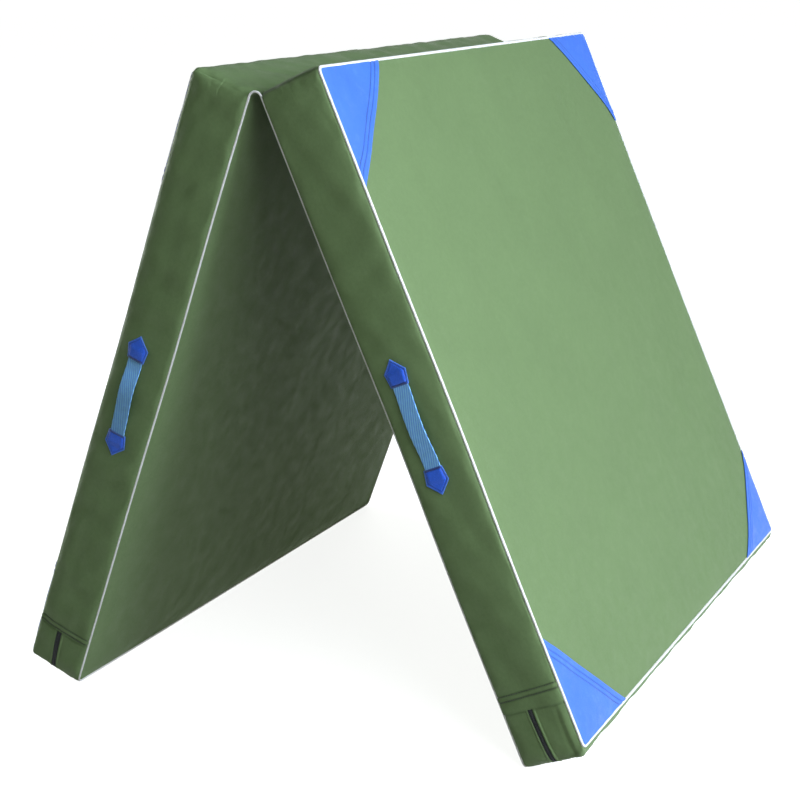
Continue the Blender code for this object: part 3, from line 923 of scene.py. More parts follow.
    def refine(self):
        """Subdivide the swollen cage once with its seams kept sharp."""
        obj = new_mesh_object("refining", self.points, self.quads)
        mesh = obj.data
        mesh.attributes.new("flat", "FLOAT_VECTOR", "POINT").data.foreach_set("vector", self.flat.ravel())
        mesh.attributes.new("side", "INT", "FACE").data.foreach_set("value", self.sides.astype(np.int32))
        seam = self.on_seam()
        edges = np.array([edge.vertices[:] for edge in mesh.edges])
        crease = (seam[edges[:, 0]] & seam[edges[:, 1]]).astype(np.float32)
        mesh.attributes.new("crease_edge", "FLOAT", "EDGE").data.foreach_set("value", crease)
        subdivision = obj.modifiers.new("refine", "SUBSURF")
        subdivision.levels = 1
        subdivision.render_levels = 1
        apply_modifiers(obj)
        mesh = obj.data
        self.points = mesh_points(mesh)
        self.flat = read_vectors(mesh.attributes["flat"].data, len(mesh.vertices), "vector")
        self.sides = np.empty(len(mesh.polygons), np.int32)
        mesh.attributes["side"].data.foreach_get("value", self.sides)
        self.quads = np.array([face.vertices[:] for face in mesh.polygons])
        self.normals = mesh_normals(mesh)
        self.centres = self.flat[self.quads].mean(axis=1)
        bpy.data.objects.remove(obj, do_unlink=True)

    def add_detail(self):
        """Waves, dimples, puckers and the foot's pleat: what the foam and the sewing do to the cloth."""
        u, v, w = self.flat.T
        name, side_sign, seed = self.panel.name, self.panel.side, self.panel.seed
        on_face = self.on_face()
        rim = self.rim_distance()
        seam_gap = np.where(on_face, rim, np.minimum(w - self.w[0], self.w[-1] - w))
        fade = 1 - np.exp(-((seam_gap / DETAIL_FADE) ** 2))
        ends = (u < self.u[0] + ON_COVER) | (u > self.u[-1] - ON_COVER)
        hinge_end = u < self.u[0] + ON_COVER
        along = np.where(ends, v, u)

        # Faces
        plan = self.flat[:, :2]
        face = wavy(plan, FACE_LONG_WAVE, seed) + wavy(plan, FACE_SHORT_WAVE, seed + 1)
        face += wavy(plan, FACE_RIM_WAVE, seed + 2) * np.exp(-rim / 0.020)

        # Strips round the sides
        strip = np.stack([along + 2.0 * ends, 0.9 * w + v * (~ends)], 1)
        side = wavy(strip, SIDE_LONG_WAVE, seed + 3) + wavy(strip, SIDE_SHORT_WAVE, seed + 4)
        pucker = wavy(np.stack([along + 0.5 * w, 0.3 * w], 1), SIDE_PUCKER, seed + 5)
        side += pucker * np.exp(-seam_gap / 0.013) * (1 - 0.7 * hinge_end)
        slanting = wavy(np.stack([v + 0.9 * w, 0.3 * w], 1), HINGE_END_FOLD, seed + 6)
        side += hinge_end * slanting * smoothstep(0.035, 0.085, w)
        side *= 1 - 0.92 * self.zip_hold()
        corner_gap = np.where(ends, 1.0, u - self.u[0])
        corner_gap = np.where(hinge_end, np.minimum(v - self.v[0], self.v[-1] - v), corner_gap)
        side -= grooved(corner_gap, CORNER_GROOVE[name])
        if name == "right":
            pleat = w - PLEAT_HEIGHT
            fold = grooved(pleat - 0.006, PLEAT_RIDGE) - grooved(pleat, PLEAT_VALLEY)
            side += fold * (v < 0) * smoothstep(PLEAT_FROM, PLEAT_FULL, u) * (~ends)
        self.points = self.points + ((np.where(on_face, face, side)) * fade)[:, None] * self.normals

        # The zip's slot drawn together, and its line bent
        narrowed = smoothstep(self.panel.hem - 0.002, self.panel.hem, u) * (~on_face)
        narrowed *= 1 - (v * side_sign > self.v[-1] - ON_COVER)
        slot = sum(self.panel.slot) / 2
        shut = ZIP_CLOSING[name] * narrowed * np.exp(-np.abs(w - slot) / 0.020)
        self.points[:, 2] -= np.sign(w - slot) * shut
        self.points[:, 2] += self.zip_bend(u, v) * np.exp(-(((w - slot) / 0.030) ** 2)) * (~on_face)
        obj = new_mesh_object("measuring", self.points, self.quads)
        self.normals = mesh_normals(obj.data)
        bpy.data.objects.remove(obj, do_unlink=True)
        self.surface = BVHTree.FromPolygons(self.points.tolist(), self.quads.tolist())

    def project(self, points, outward):
        """Where points land when dropped on the cover against an outward direction, and its normals there."""
        points = np.asarray(points, float)
        outward = np.broadcast_to(np.asarray(outward, float), points.shape)
        landed, normals = points.copy(), outward.copy()
        for index, (point, way) in enumerate(zip(points, outward)):
            start = Vector(point + PROBE_START * way)
            place, normal, _, _ = self.surface.ray_cast(start, Vector(-way), PROBE_REACH)
            if place is not None:
                landed[index], normals[index] = place, normal
        return landed, normals

    def sheet(self, name, keep, lift=None, crease=None):
        """The faces to keep as one sheet of cloth with its own thickness."""
        faces = self.quads[keep]
        used, numbered = np.unique(faces, return_inverse=True)
        points = self.points[used]
        if lift is not None:
            points = points + lift[used][:, None] * self.normals[used]
        obj = new_mesh_object(f"{self.panel.name}_{name}", points, numbered.reshape(faces.shape))
        set_cloth_coordinates(obj.data, self.cloth_coordinates(used, self.sides[keep][0]))
        # The crease values darken the cloth's colour: dust and painted shade along seams
        if crease is not None:
            set_dust_and_painted_shade(obj.data, crease[used])
        return thicken(obj, CLOTH_THICKNESS, 40)

    def cloth_coordinates(self, used, side):
        u, v, w = self.flat[used].T
        if side in (LANDING, BASE):
            return stacked(u, v, 0.1 * side)
        if side == HINGE_END:
            return stacked(v, w, 0.4)
        round_foot = np.where(u > self.u[-1] - ON_COVER, self.u[-1] + (v - self.v[0]), u)
        return stacked(round_foot, w, 0.2 + 0.1 * side)

    def lap_lift(self):
        """How far the gusset stands out where it laps over the foot boxing, with its two rows of stitches."""
        u = self.flat[:, 0]
        first, second = (self.lap_line(line, self.flat[:, 2]) for line in LAP_LINES[self.panel.name])
        lift = LAP_LIFT * smoothstep(-0.004, 0.002, u - first)
        lift -= LAP_GROOVE_DEPTH * (groove(u - first) + groove(u - second))
        return lift * (~self.on_face())

    def lap_line(self, distance, w):
        """Where a row of lap stitches lies along the panel; the right panel's run askew across the strip."""
        return self.panel.hem - distance - LAP_SKEW[self.panel.name] * (w - self.panel.thickness / 2)

    def lap_dust_and_shade(self):
        # Dust and painted shade along the lap's two stitch rows and its hem, with the painted shade of the
        # right panel's corner edge
        u, w = self.flat[:, 0], self.flat[:, 2]
        first, second = (self.lap_line(line, w) for line in LAP_LINES[self.panel.name])
        rows = grooved(u - first, FIRST_ROW_DUST_AND_SHADE) + grooved(u - second, SECOND_ROW_DUST_AND_SHADE)
        hem = grooved(u - self.panel.hem, HEM_DUST_AND_SHADE)
        return rows + hem + self.edge_crease()

    def edge_crease(self):
        """Painted shade: the dark line where the hinge-end strip meets the right panel's side strips."""
        if self.panel.name == "left":
            return np.zeros(len(self.flat))
        u, v = self.flat[:, 0], self.flat[:, 1]
        hinge_end = u < self.u[0] + ON_COVER
        gap = np.where(hinge_end, np.minimum(v - self.v[0], self.v[-1] - v), u - self.u[0])
        return grooved(gap, EDGE_PAINTED_SHADE)

    def foot_painted_shade(self):
        # Painted shadow on the foot boxing just under the hem's lapped edge
        return grooved(self.flat[:, 0] - self.panel.hem - HEM_OFFSET, FOOT_PAINTED_SHADE)

    def zip_bend(self, u, v):
        """How far the zip's line strays towards the landing face, towards the foot and at the front only."""
        from_front = v * self.panel.side + self.v[-1]
        down = smoothstep(self.panel.hem, self.u[-1], u)
        return ZIP_BEND[self.panel.name] * down * (1 - smoothstep(0.0, ZIP_BEND_REACH, from_front))

    def slot_lift(self):
        """The rolled edges of the boxing along the zip."""
        low, high = self.panel.slot
        w = self.flat[:, 2]
        ridge, channel = (
            depth * (groove(w - low + gap, width) + groove(w - high - gap, width))
            for gap, (depth, width) in ((0.0009, SLOT_RIDGE), (0.0035, SLOT_CHANNEL))
        )
        tucked = grooved(self.flat[:, 0] - self.panel.hem - HEM_OFFSET, HEM_TUCK)
        return (ridge - channel - tucked) * (~self.on_face())


# ---------------------------------------------------------------- cover sheets

def front_side(panel):
    """The number of the side that faces the mat's front, and of the one that faces its back."""
    return (LOW_V, HIGH_V) if panel.side == 1 else (HIGH_V, LOW_V)


def add_cover(panel, shell):
    """The two faces over the foam, and the strips round the sides."""
    landing = shell.sheet("landing_cover", shell.sides == LANDING)
    panel.place(landing, MATERIALS["landing_canvas"], "landing_canvas", ["landing_face", "soft_foam_top"])
    base = shell.sheet("base_cover", shell.sides == BASE)
    panel.place(base, MATERIALS["base_canvas"], "base_canvas", ["base_face", "firm_foam_base"])

    rolled_hinge, rolled_sides, rolled_foot = (ROLL_SHARE * drawn for drawn in SEAM_DRAWN_IN[panel.name])
    before_hem = shell.centres[:, 0] < panel.hem
    lap = shell.lap_lift()
    # How much dust and painted shade darken each point of the side strips
    crease = shell.lap_dust_and_shade()
    for label, number in zip(("front", "back"), front_side(panel)):
        gusset = shell.sheet(f"{label}_gusset_cloth", (shell.sides == number) & before_hem, lap, crease)
        panel.place(gusset, MATERIALS["side_canvas"], "side_canvas", [f"{label}_gusset"])
    end = shell.sheet("hinge_end_cloth", shell.sides == HINGE_END, None, shell.edge_crease())
    panel.place(end, MATERIALS["side_canvas"], "side_canvas", ["hinge_end_gusset"])

    tuck = shell.u[np.searchsorted(shell.u, panel.hem - ON_CAGE) - 2]
    below_hem = np.isin(shell.sides, (LOW_V, HIGH_V)) & (shell.centres[:, 0] > tuck)
    round_foot = (shell.sides == FOOT) | below_hem
    rolled = shell.slot_lift()
    for label, between, tall in (
        ("inner", shell.centres[:, 2] < panel.slot[0], panel.slot[0] - shell.w[0]),
        ("outer", shell.centres[:, 2] > panel.slot[1], shell.w[-1] - panel.slot[1] + rolled_foot),
    ):
        boxing = shell.sheet(f"foot_boxing_{label}_cloth", round_foot & between, rolled, shell.foot_painted_shade())
        panel.place(boxing, MATERIALS["side_canvas"], "side_canvas", [f"foot_boxing_{label}"])


# ---------------------------------------------------------------- piping

def corner_arc(centre, radius, start, steps=6):
    angles = [math.radians(start + 90 * step / steps) for step in range(steps + 1)]
    return [(centre[0] + radius * math.cos(a), centre[1] + radius * math.sin(a)) for a in angles]


def seam_loop(shell):
    """The closed (u, v) line of a face's seam."""
    r = CORNER_RADIUS
    near, far, across = shell.u[0] + r, shell.u[-1] - r, shell.v[-1] - r
    corners = [(near, -across, 180), (far, -across, 270), (far, across, 0), (near, across, 90)]
    return [point for u, v, start in corners for point in corner_arc((u, v), r, start)]


def seam_u_turn(shell, start):
    """The (u, v) line down one side, round the foot and up the other side."""
    r = CORNER_RADIUS
    far, across = shell.u[-1] - r, shell.v[-1] - r
    points = [(start, shell.v[0])]
    points += corner_arc((far, -across), r, 270)
    points += corner_arc((far, across), r, 0)
    return points + [(start, shell.v[-1])]


def densely(points, pitch, cyclic=False):
    """The same chain with points at about the pitch given."""
    points = np.asarray(points, float)
    if cyclic:
        points = np.concatenate([points, points[:1]])
    total = chain_lengths(points)[-1]
    wanted = np.linspace(0, total, max(2, int(round(total / pitch))) + 1)
    dense, _ = along_chain(points, wanted)
    return dense[:-1] if cyclic else dense


def lumpy(points, seed):
    """Small changes in a piping's thickness where the cloth bunches round the cord."""
    return 1 + 0.035 * waves(chain_lengths(points)[:, None], 0.050, seed)


def add_piping(panel, shell):
    plan = densely(seam_loop(shell), 0.004, cyclic=True)
    loop = shell.shifted(stacked(plan[:, 0], plan[:, 1], shell.w[-1]))
    loop[:, 2] += LANDING_PIPING_LIFT[panel.name]
    lumps = lumpy(loop, panel.seed + 7)
    piping = tube(f"{panel.name}_landing_cord", loop, LANDING_PIPING_RADIUS, cyclic=True, swell=lumps)
    panel.place(piping, MATERIALS["piping"], "piping", ["landing_piping"])
    plan = densely(seam_u_turn(shell, FOLD_START), 0.004)
    run = stacked(plan[:, 0], plan[:, 1], shell.w[0])
    piping = tube(f"{panel.name}_base_cord", run, BASE_PIPING_RADIUS)
    panel.place(piping, MATERIALS["piping"], "piping", ["base_piping"])


# ---------------------------------------------------------------- corner patches

def patch_outline(s):
    """How far from one leg the patch starts, on the line whose distances from the two legs add up to s."""
    r = CORNER_RADIUS
    if s >= r:
        return 0.0
    total = 2 * r - s
    return r - (total + math.sqrt(max(2 * r * r - total * total, 0))) / 2


def add_corner_patches(panel, shell):
    """A triangle of coated cloth over each landing-face corner, double stitched along its long edge."""
    depth_end = (PATCH_LEG - 2 * CORNER_RADIUS * (1 - math.sqrt(0.5)) - 0.0006) / math.sqrt(2)
    hem_width = PATCH_LINES[1] + 0.002
    depths = np.concatenate([np.arange(0, hem_width, 0.0008), np.linspace(hem_width, depth_end, 36)])
    columns = np.linspace(0, 1, 91)
    for end, edge_u, way_u in (("top", shell.u[0], 1), ("foot", shell.u[-1], -1)):
        for label, world_side in (("front", -1), ("back", 1)):
            way_v = -world_side * panel.side
            edge_v = -way_v * shell.v[-1]

            def on_face(x, y):
                """From distances to the two legs to points over the landing face."""
                return stacked(edge_u + way_u * x, edge_v + way_v * y, shell.w[-1])

            rows = []
            for depth in depths:
                s = PATCH_LEG - depth * math.sqrt(2)
                start = patch_outline(s)
                x = start + (s - 2 * start) * columns
                rows.append(on_face(np.clip(x, PATCH_RIM, None), np.clip(s - x, PATCH_RIM, None)))
            points = shell.shifted(np.concatenate(rows))
            landed, _ = shell.project(points, (0, 0, 1))
            depth = np.repeat(depths, len(columns))
            lift = PATCH_GAP + PATCH_THICKNESS + PATCH_HEM_LIFT * (1 - smoothstep(0.017, 0.021, depth))
            groove_depth, groove_width = PATCH_STITCH_GROOVE
            lift -= groove_depth * sum(groove(depth - line, groove_width) for line in PATCH_LINES)
            lift -= grooved(depth, PATCH_EDGE_DROP)
            lift += wavy(points[:, :2], PATCH_WAVE, panel.seed + 8) * smoothstep(0.0, 0.01, depth)
            landed[:, 2] += lift
            faces = turned(grid_faces(len(depths), len(columns)), way_u * way_v < 0)
            name = f"{end}_{label}_corner_patch"
            patch = new_mesh_object(f"{panel.name}_{name}_cloth", landed, faces)
            set_cloth_coordinates(patch.data, points)
            # Dust and painted shade darken the patch along its two stitch rows
            set_dust_and_painted_shade(patch.data, sum(groove(depth - line, PATCH_DUST_AND_SHADE_WIDTH) for line in PATCH_LINES))
            thicken(patch, PATCH_THICKNESS)
            panel.place(patch, MATERIALS["corner_patch"], "corner_patch", [name])
            lines = []
            for line in PATCH_LINES:
                s = PATCH_LEG - line * math.sqrt(2)
                ends = np.array([0.004, s - 0.004])
                lines.append(shell.shifted(densely(on_face(ends, s - ends), 0.004)))
            add_stitches(panel, shell, f"{name}_stitches", lines, (0, 0, 1), PATCH_THICKNESS + 0.0003,
                         "blue_thread", "corner_patch")


# ---------------------------------------------------------------- stitches

def add_stitches(panel, shell, name, lines, outward, lift, material, slot, direct=False, pitch=STITCH_PITCH,
                 template=None):
    """Short rounded stitches along lines on the cover. Direct lines already lie where the stitches go."""
    template = template or capsule(STITCH_LENGTH, STITCH_RADIUS, STITCH_RADIUS * 0.8)
    places, ways, ups = [], [], []
    for line in lines:
        at, way = along_chain(line, evenly(line, pitch, 0.001))
        if direct:
            normals = np.broadcast_to(np.asarray(outward, float), at.shape)
        else:
            at, normals = shell.project(at, outward)
            at = at + lift * normals
        places.append(at)
        ways.append(way)
        ups.append(normals)
    obj = scatter(f"{panel.name}_{name}", template, np.concatenate(places), np.concatenate(ways),
                  np.concatenate(ups))
    set_cloth_coordinates(obj.data, mesh_points(obj.data))
    panel.place(obj, MATERIALS[material], slot)


def add_lap_stitches(panel, shell):
    """Two rows of stitches across each side, where the gusset laps over the foot boxing."""
    for label, world_side in (("front", -1), ("back", 1)):
        v_way = world_side * panel.side
        lines = []
        for distance in LAP_LINES[panel.name]:
            heights = np.linspace(shell.w[0] + 0.002, shell.w[-1] - 0.002, 20)
            lines.append(stacked(shell.lap_line(distance, heights), v_way * shell.v[-1], heights))
        add_stitches(panel, shell, f"{label}_lap_stitches", lines, (0, v_way, 0), LAP_LIFT - 0.0004,
                     "green_thread", "side_canvas")


# ---------------------------------------------------------------- handles

def strap_section(steps=24):
    """The strap's cross-section as (across, height): flat with round edges, its underside at height 0."""
    half, r = STRAP_WIDTH / 2, STRAP_THICKNESS / 2
    points = []
    for way, height, start, stop in ((1, 2 * r, 90, -90), (-1, 0.0, 270, 90)):
        points += [(across, height) for across in np.linspace(way * (-half + r), way * (half - r), steps)]
        for angle in np.radians(np.linspace(start, stop, 6)[1:-1]):
            points.append((way * (half - r) + r * math.cos(angle), r + r * math.sin(angle)))
    return np.array(points)


def add_handle(panel, shell, label, world_side):
    """A bowed webbing strap with a stitched leatherette patch over each end."""
    v_way = world_side * panel.side
    out = np.array([0.0, v_way, 0.0])
    face_v = v_way * shell.v[-1]

    def on_side(along, across):
        return stacked(panel.handle_u + along, face_v, panel.handle_w + across + panel.handle_skew * along)

    # Strap
    half = STRAP_SPAN / 2
    along = np.linspace(-half - STRAP_TAIL, half + STRAP_TAIL, 300)
    bow = np.where(np.abs(along) < half, STRAP_BOW * (1 + np.cos(math.pi * along / half)) / 2, 0.0)
    slope = np.gradient(bow, along)
    section = strap_section()
    centre, _ = shell.project(on_side(along, 0.0 * along), out)
    surface_v = centre[:, 1] * v_way
    slant = section[None, :, 0] * math.cos(RIB_SLANT) + along[:, None] * math.sin(RIB_SLANT)
    ribs = np.sin(2 * math.pi * slant / RIB_PITCH)
    rib_sign = np.sign(section[:, 1] - STRAP_THICKNESS / 2)[None, :]
    height = section[None, :, 1] + RIB_HEIGHT * ribs * rib_sign
    tilt = np.sqrt(1 + slope ** 2)[:, None]
    points = np.empty((len(along), len(section), 3))
    points[..., 0] = panel.handle_u + along[:, None] - height * slope[:, None] / tilt
    points[..., 1] = v_way * (surface_v[:, None] + 0.0006 + bow[:, None] + height / tilt)
    points[..., 2] = panel.handle_w + section[None, :, 0] + panel.handle_skew * along[:, None]
    rows, columns = len(along), len(section)
    faces = []
    for row in range(rows - 1):
        for column in range(columns):
            after = (column + 1) % columns
            faces.append((row * columns + column, row * columns + after,
                          (row + 1) * columns + after, (row + 1) * columns + column))
    faces.append(tuple(range(columns))[::-1])
    faces.append(tuple(range((rows - 1) * columns, rows * columns)))
    name = f"{panel.name}_{label}_strap_webbing"
    strap = new_mesh_object(name, points.reshape(-1, 3), turned(faces, v_way > 0))
    set_cloth_coordinates(strap.data, stacked(along[:, None], section[:, 0], 0.0))
    panel.place(strap, MATERIALS["webbing"], "webbing", [f"{label}_strap"])

    # End patches
    for end, way in (("upper", -1), ("lower", 1)):
        add_end_patch(panel, shell, f"{label}_{end}_end_patch", way, v_way, on_side, out)


def patch_half_width(along):
    (tip, _), (shoulder, wide), (base, narrow) = END_PATCH
    return np.interp(along, [base, shoulder, tip], [narrow, wide, 0.0004])


def edge_distance(along, across):
    """How far inside the end patch's outline a point is."""
    (tip, _), (shoulder, wide), (base, narrow) = END_PATCH
    side = math.hypot(shoulder - base, wide - narrow)
    to_side = ((patch_half_width(np.minimum(along, shoulder)) - np.abs(across)) * (shoulder - base)) / side
    point = math.hypot(tip - shoulder, wide)
    to_tip = ((tip - along) * wide - np.abs(across) * (tip - shoulder)) / point
    return np.minimum.reduce([to_side, to_tip, along - base])


def end_patch_height(along, across):
    """The patch's upper surface over the cover: up over the strap's tail, down at its own edges."""
    tail = STRAP_SPAN / 2 + STRAP_TAIL
    over_strap = 1 - smoothstep(0.0095, 0.0155, np.abs(across))
    over_strap = over_strap * (1 - smoothstep(tail - 0.004, tail + 0.005, along))
    edge = np.maximum(edge_distance(along, across), 0)
    crown, crown_width = END_PATCH_CROWN
    height = END_PATCH_LIFT + STRAP_THICKNESS * over_strap
    height += crown * (1 - np.exp(-edge / crown_width))
    height -= grooved(edge - END_PATCH_STITCH, END_PATCH_GROOVE)
    return height - grooved(edge, END_PATCH_EDGE_DROP)


def add_end_patch(panel, shell, name, way, v_way, on_side, out):
    (tip, _), (shoulder, wide), (base, narrow) = END_PATCH
    along = np.unique(np.concatenate([np.linspace(base, tip, 62), [shoulder]]))
    t = np.linspace(-1, 1, 49)
    across = t[None, :] * patch_half_width(along)[:, None]
    grid_along = np.broadcast_to(along[:, None], across.shape)
    landed, _ = shell.project(on_side(way * grid_along, across), out)
    landed[:, 1] += v_way * end_patch_height(grid_along, across).ravel()
    faces = turned(grid_faces(len(along), len(t)), way * v_way > 0)
    patch = new_mesh_object(f"{panel.name}_{name}_cloth", landed, faces)
    set_cloth_coordinates(patch.data, stacked(way * grid_along, across, 0.05 * way))
    rim = patch.data.attributes.new("rim", "FLOAT", "POINT")
    edge = edge_distance(grid_along, across)
    rim.data.foreach_set("value", groove(np.maximum(edge, 0), END_PATCH_RIM_WIDTH).ravel())
    # Painted shade where the strap goes in under the patch, and dust and painted shade along the patch's
    # stitches
    mouth_shade = grooved(grid_along - base - 0.0012, END_PATCH_MOUTH_SHADE) * (np.abs(across) < STRAP_WIDTH / 2)
    set_dust_and_painted_shade(patch.data, mouth_shade + grooved(edge - END_PATCH_STITCH, END_PATCH_STITCH_DUST_AND_SHADE))
    thicken(patch, END_PATCH_THICKNESS)
    panel.place(patch, MATERIALS["leatherette"], "leatherette", [name])

    inset = END_PATCH_STITCH
    corner = shoulder - 0.0004
    inner_wide = wide - inset * 1.05
    outline = [(base + inset, -(narrow - inset)), (corner, -inner_wide), (tip - inset * 1.45, 0.0),
               (corner, inner_wide), (base + inset, narrow - inset), (base + inset, -(narrow - inset))]
    lines = []
    for first, last in zip(outline[:-1], outline[1:]):
        run = np.linspace(first, last, 16)
        place = on_side(way * run[:, 0], run[:, 1])
        place, _ = shell.project(place, out)
        place[:, 1] += v_way * (end_patch_height(run[:, 0], run[:, 1]) + STITCH_PROUD)
        lines.append(place)
    add_stitches(panel, shell, f"{name}_stitches", lines, out, 0.0, "blue_thread", "leatherette", direct=True)

    run = np.stack([np.full(40, base + BAR_TACK_INSET), np.linspace(-narrow + 0.001, narrow - 0.001, 40)], 1)
    place, _ = shell.project(on_side(way * run[:, 0], run[:, 1]), out)
    place[:, 1] += v_way * (end_patch_height(run[:, 0], run[:, 1]) + STITCH_PROUD)
    add_stitches(panel, shell, f"{name}_bar_tack", [place], out, 0.0, "blue_thread", "leatherette",
                 direct=True, pitch=BAR_TACK_PITCH, template=capsule(*BAR_TACK_SIZE))


# ---------------------------------------------------------------- zip

def add_zip(panel, shell):
    """Two woven tapes and a closed coil, round the foot from hem to hem."""
    plan = densely(seam_u_turn(shell, panel.hem - 0.002), 0.0015)
    middle = sum(panel.slot) / 2
    ways = unit(np.gradient(plan, axis=0))
    outward = np.column_stack([ways[:, 1], -ways[:, 0], np.zeros(len(plan))])

    def at_height(w):
        return shell.project(np.column_stack([plan, w + shell.zip_bend(plan[:, 0], plan[:, 1])]), outward)[0]

    for label, low, high in (
        ("inner", middle - TAPE_GAP - TAPE_WIDTH - TAPE_HIDDEN, middle - TAPE_GAP),
        ("outer", middle + TAPE_GAP, middle + TAPE_GAP + TAPE_WIDTH + TAPE_HIDDEN),
    ):
        heights = np.linspace(low, high, 9)
        points = np.stack([at_height(w) - TAPE_SUNK * outward for w in heights], 1)
        faces = [face[::-1] for face in grid_faces(len(plan), len(heights))]
        tape = new_mesh_object(f"{panel.name}_zip_tape_{label}_weave", points.reshape(-1, 3), faces)
        set_cloth_coordinates(tape.data, stacked(chain_lengths(plan)[:, None], heights, 0.0))
        thicken(tape, 0.0007)
        panel.place(tape, MATERIALS["zip_tape"], "zip_tape", [f"zip_tape_{label}"])

    centre = at_height(middle) - TEETH_SUNK * outward
    wanted = evenly(centre, TOOTH_PITCH)
    at, way = along_chain(centre, wanted)
    lengths = chain_lengths(centre)
    out = unit(np.stack([np.interp(wanted, lengths, outward[:, axis]) for axis in range(3)], 1))
    across = np.cross(out, way)
    sign = np.where(np.arange(len(at)) % 2, 1.0, -1.0)[:, None]
    places = at + sign * TEETH_STAGGER * across
    teeth = scatter(f"{panel.name}_zip_teeth", capsule(*TOOTH_SIZE), places, across, out)
    set_cloth_coordinates(teeth.data, mesh_points(teeth.data))
    panel.place(teeth, MATERIALS["zip_coil"], "zip_coil", ["zip_coil"])


def add_zip_metal(panel):
    """The slider and the pull in their CAD shapes with their edges eased, each on its own body."""
    for part in ("slider", "pull"):
        name = f"{panel.name}_zip_{part}"
        obj = bpy.data.objects.new(f"{name}_casting", frame["nodes"][name].data.copy())
        bpy.context.scene.collection.objects.link(obj)
        weld = obj.modifiers.new("weld", "WELD")
        weld.merge_threshold = 0.00001
        ease = obj.modifiers.new("ease", "BEVEL")
        ease.width = 0.00018
        ease.segments = 2
        ease.limit_method = "ANGLE"
        ease.angle_limit = math.radians(35)
        ease.use_clamp_overlap = True
        apply_modifiers(obj)
        obj.data.shade_smooth()
        obj.data.set_sharp_from_angle(angle=math.radians(40))
        finish_piece(obj, f"{panel.name}_{part}", MATERIALS["zip_metal"], [name])


# ---------------------------------------------------------------- the fold

def fold_arch(offset, steps=14):
    """The (x, z) arch of half the fold, right side: from the right panel's base face to the top.

    It is part of a circle that touches both base faces FOLD_START down their slope; a positive offset lies
    inside the panels, as the piping's centre line does."""
    joint = JOINTS["fold_right"]
    lean = -math.radians(joint["range_deg"][0])
    x_hinge, _, z_hinge = joint["pos_m"]
    touch = (x_hinge + FOLD_START * math.sin(lean), z_hinge - FOLD_START * math.cos(lean))
    radius = touch[0] / math.cos(lean)
    centre_z = touch[1] - radius * math.sin(lean)
    angles = np.linspace(lean, math.pi / 2, steps + 1)
    size = radius + offset
    return np.stack([size * np.cos(angles), centre_z + size * np.sin(angles)], 1)


def add_fold(shells):
    """The base cloth over the fold and its piping, each as two halves, one from each panel's base face to the
    fold's top.
    """
    shell = shells["right"]
    half = shell.v[-1]
    v_lines = np.linspace(-half, half, 200)
    for name, mirror in (("right", 1), ("left", -1)):
        line = fold_arch(0.0)
        tangent, top = line[0], line[-1]
        start = (mirror * tangent[0], 0.0, tangent[1])
        end = (0.0, 0.0, top[1])
        if mirror == -1:
            start, end = end, start
        ripple = wavy(v_lines[:, None], FOLD_RIPPLE, SEED + 9)
        fade = np.sin(np.linspace(0, math.pi / 2, len(line)))
        points = np.empty((len(line), len(v_lines), 3))
        points[..., 0] = mirror * line[:, None, 0]
        points[..., 1] = v_lines[None, :]
        points[..., 2] = line[:, None, 1] + ripple[None, :] * fade[:, None]
        faces = turned(grid_faces(len(line), len(v_lines)), mirror == 1)
        cloth = new_mesh_object(f"fold_{name}_half", points.reshape(-1, 3), faces)
        lengths = chain_lengths(line)
        set_cloth_coordinates(cloth.data, stacked(mirror * lengths[:, None], v_lines, 0.7))
        thicken(cloth, CLOTH_THICKNESS)
        finish_piece(cloth, None, MATERIALS["base_canvas"], ["fold_strip"])
        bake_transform(cloth)
        for label, world_side in (("front", -1), ("back", 1)):
            arch = fold_arch(SEAM_INSET)
            path = stacked(mirror * arch[:, 0], world_side * half, arch[:, 1])
            cord = tube(f"fold_{label}_{name}_cord", path, BASE_PIPING_RADIUS)
            finish_piece(cord, None, MATERIALS["piping"], [f"fold_{label}_piping"])
            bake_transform(cord)


# ---------------------------------------------------------------- stage

WORLD_ABOVE = (0.170, 0.192, 0.170)
WORLD_BELOW = (0.070, 0.068, 0.030)
FLOOR_WHITE = 0.86
BACKDROP_GLOW = 1.05

# Each light's place, target, size, power and colour
LIGHTS = {
    "key": ((4.6, -0.55, 2.0), (0.2, 0.0, 0.5), 2.6, 308.0, (0.95, 1.0, 1.18)),
    "front": ((1.5, -1.4, 1.3), (0.2, -0.5, 0.6), 1.0, 14.0, (1.0, 1.03, 1.12)),
    "fill": ((-2.6, -3.6, 2.6), (0.0, 0.0, 0.5), 3.0, 4.0, (1.0, 0.98, 0.92)),
    "rear": ((-5.0, 1.2, 1.8), (-0.2, 0.0, 0.5), 2.6, 210.0, (0.97, 1.0, 1.0)),
    "back": ((-0.9, 2.6, 1.2), (0.0, 0.5, 0.5), 1.4, 11.0, (1.0, 1.0, 0.97)),
}


def stage_piece(name, white, glow):
    """Name what was just added, and give it a grey base and a white glow."""
    piece = bpy.context.object
    piece.name = name
    nodes = Nodes(name)
    nodes.shader.inputs["Base Color"].default_value = (white, white, white, 1.0)
    nodes.shader.inputs["Emission Color"].default_value = (1.0, 1.0, 1.0, 1.0)
    nodes.shader.inputs["Emission Strength"].default_value = glow
    piece.data.materials.append(nodes.material)
    return piece, nodes


def make_floor():
    bpy.ops.mesh.primitive_plane_add(size=160.0, location=(0.0, 0.0, -0.0002))
    floor, nodes = stage_piece("studio_floor", FLOOR_WHITE, FLOOR_WHITE)
    nodes.set(roughness=0.9, specular_ior_level=0.1)
    floor.visible_diffuse = False


def make_backdrop():
    """A white dome round the stage. It is only seen: the lights and the world light the mat."""
    bpy.ops.mesh.primitive_uv_sphere_add(segments=48, ring_count=24, radius=60.0)
    dome, _ = stage_piece("studio_backdrop", 0.0, BACKDROP_GLOW)
    for way in ("diffuse", "glossy", "transmission", "shadow"):
        setattr(dome, f"visible_{way}", False)


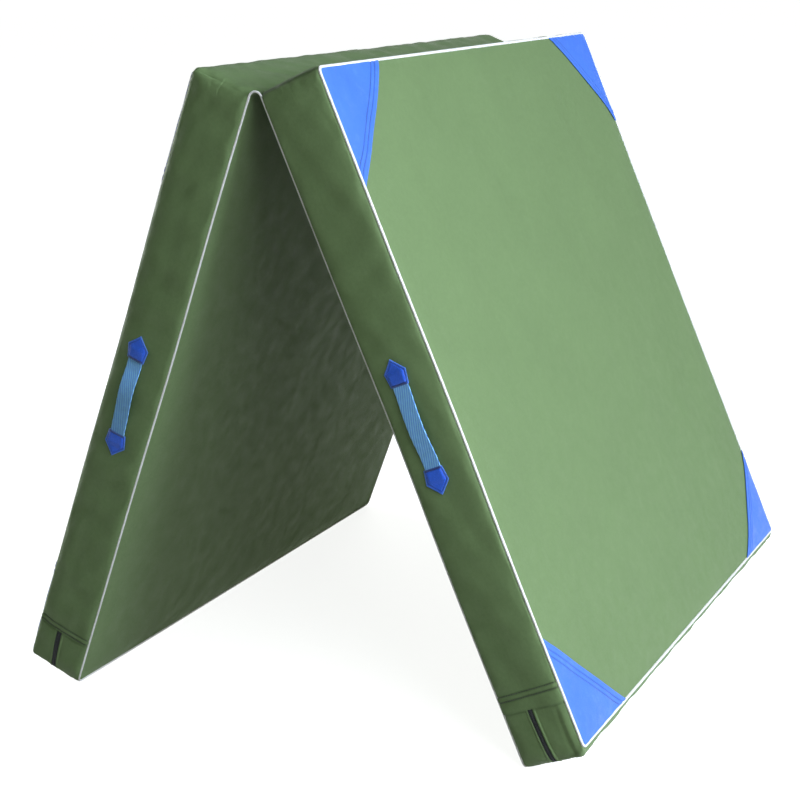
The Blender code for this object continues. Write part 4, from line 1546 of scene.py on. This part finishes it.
def make_area_light(name, place, target, size, power, colour):
    light = bpy.data.lights.new(name, "AREA")
    light.shape = "DISK"
    light.size = size
    light.energy = power
    light.color = colour
    obj = bpy.data.objects.new(name, light)
    bpy.context.scene.collection.objects.link(obj)
    obj.location = place
    obj.rotation_euler = (Vector(target) - Vector(place)).to_track_quat("-Z", "Y").to_euler()


def make_world():
    world = bpy.data.worlds.new("studio")
    bpy.context.scene.world = world
    world.use_nodes = True
    tree = world.node_tree
    background = tree.nodes["Background"]
    direction = tree.nodes.new("ShaderNodeTexCoord").outputs["Generated"]
    split = tree.nodes.new("ShaderNodeSeparateXYZ")
    ramp = tree.nodes.new("ShaderNodeMapRange")
    mix = tree.nodes.new("ShaderNodeMix")
    mix.data_type = "RGBA"
    tree.links.new(direction, split.inputs[0])
    tree.links.new(split.outputs["Z"], ramp.inputs["Value"])
    ramp.inputs["From Min"].default_value = -0.4
    ramp.inputs["From Max"].default_value = 0.5
    tree.links.new(ramp.outputs[0], mix.inputs["Factor"])
    mix.inputs["A"].default_value = (*WORLD_BELOW, 1.0)
    mix.inputs["B"].default_value = (*WORLD_ABOVE, 1.0)
    tree.links.new(mix.outputs["Result"], background.inputs["Color"])


def make_camera():
    heading, tilt, roll = CAMERA_HEADING, CAMERA_TILT, CAMERA_ROLL
    level = math.cos(tilt)
    forward = Vector((-math.sin(heading) * level, math.cos(heading) * level, math.sin(tilt)))
    right = Vector((math.cos(heading), math.sin(heading), 0.0))
    up = right.cross(forward)
    rolled_right = math.cos(roll) * right + math.sin(roll) * up
    rolled_up = -math.sin(roll) * right + math.cos(roll) * up
    camera = bpy.data.cameras.new("camera")
    camera.lens = CAMERA_LENS
    obj = bpy.data.objects.new("camera", camera)
    bpy.context.scene.collection.objects.link(obj)
    rotation = Matrix((rolled_right, rolled_up, -forward)).transposed().to_4x4()
    obj.matrix_world = Matrix.Translation(CAMERA_PLACE) @ rotation
    bpy.context.scene.camera = obj


# ---------------------------------------------------------------- everything

make_camera()
make_world()
make_floor()
make_backdrop()
for name, values in LIGHTS.items():
    make_area_light(name, *values)
bpy.context.scene.view_settings.view_transform = "Standard"

shells = {}
for panel in (Panel("right"), Panel("left")):
    shell = Shell(panel)
    shells[panel.name] = shell
    add_cover(panel, shell)
    add_piping(panel, shell)
    add_corner_patches(panel, shell)
    add_lap_stitches(panel, shell)
    add_handle(panel, shell, "front", -1)
    add_handle(panel, shell, "back", 1)
    add_zip(panel, shell)
    add_zip_metal(panel)
add_fold(shells)
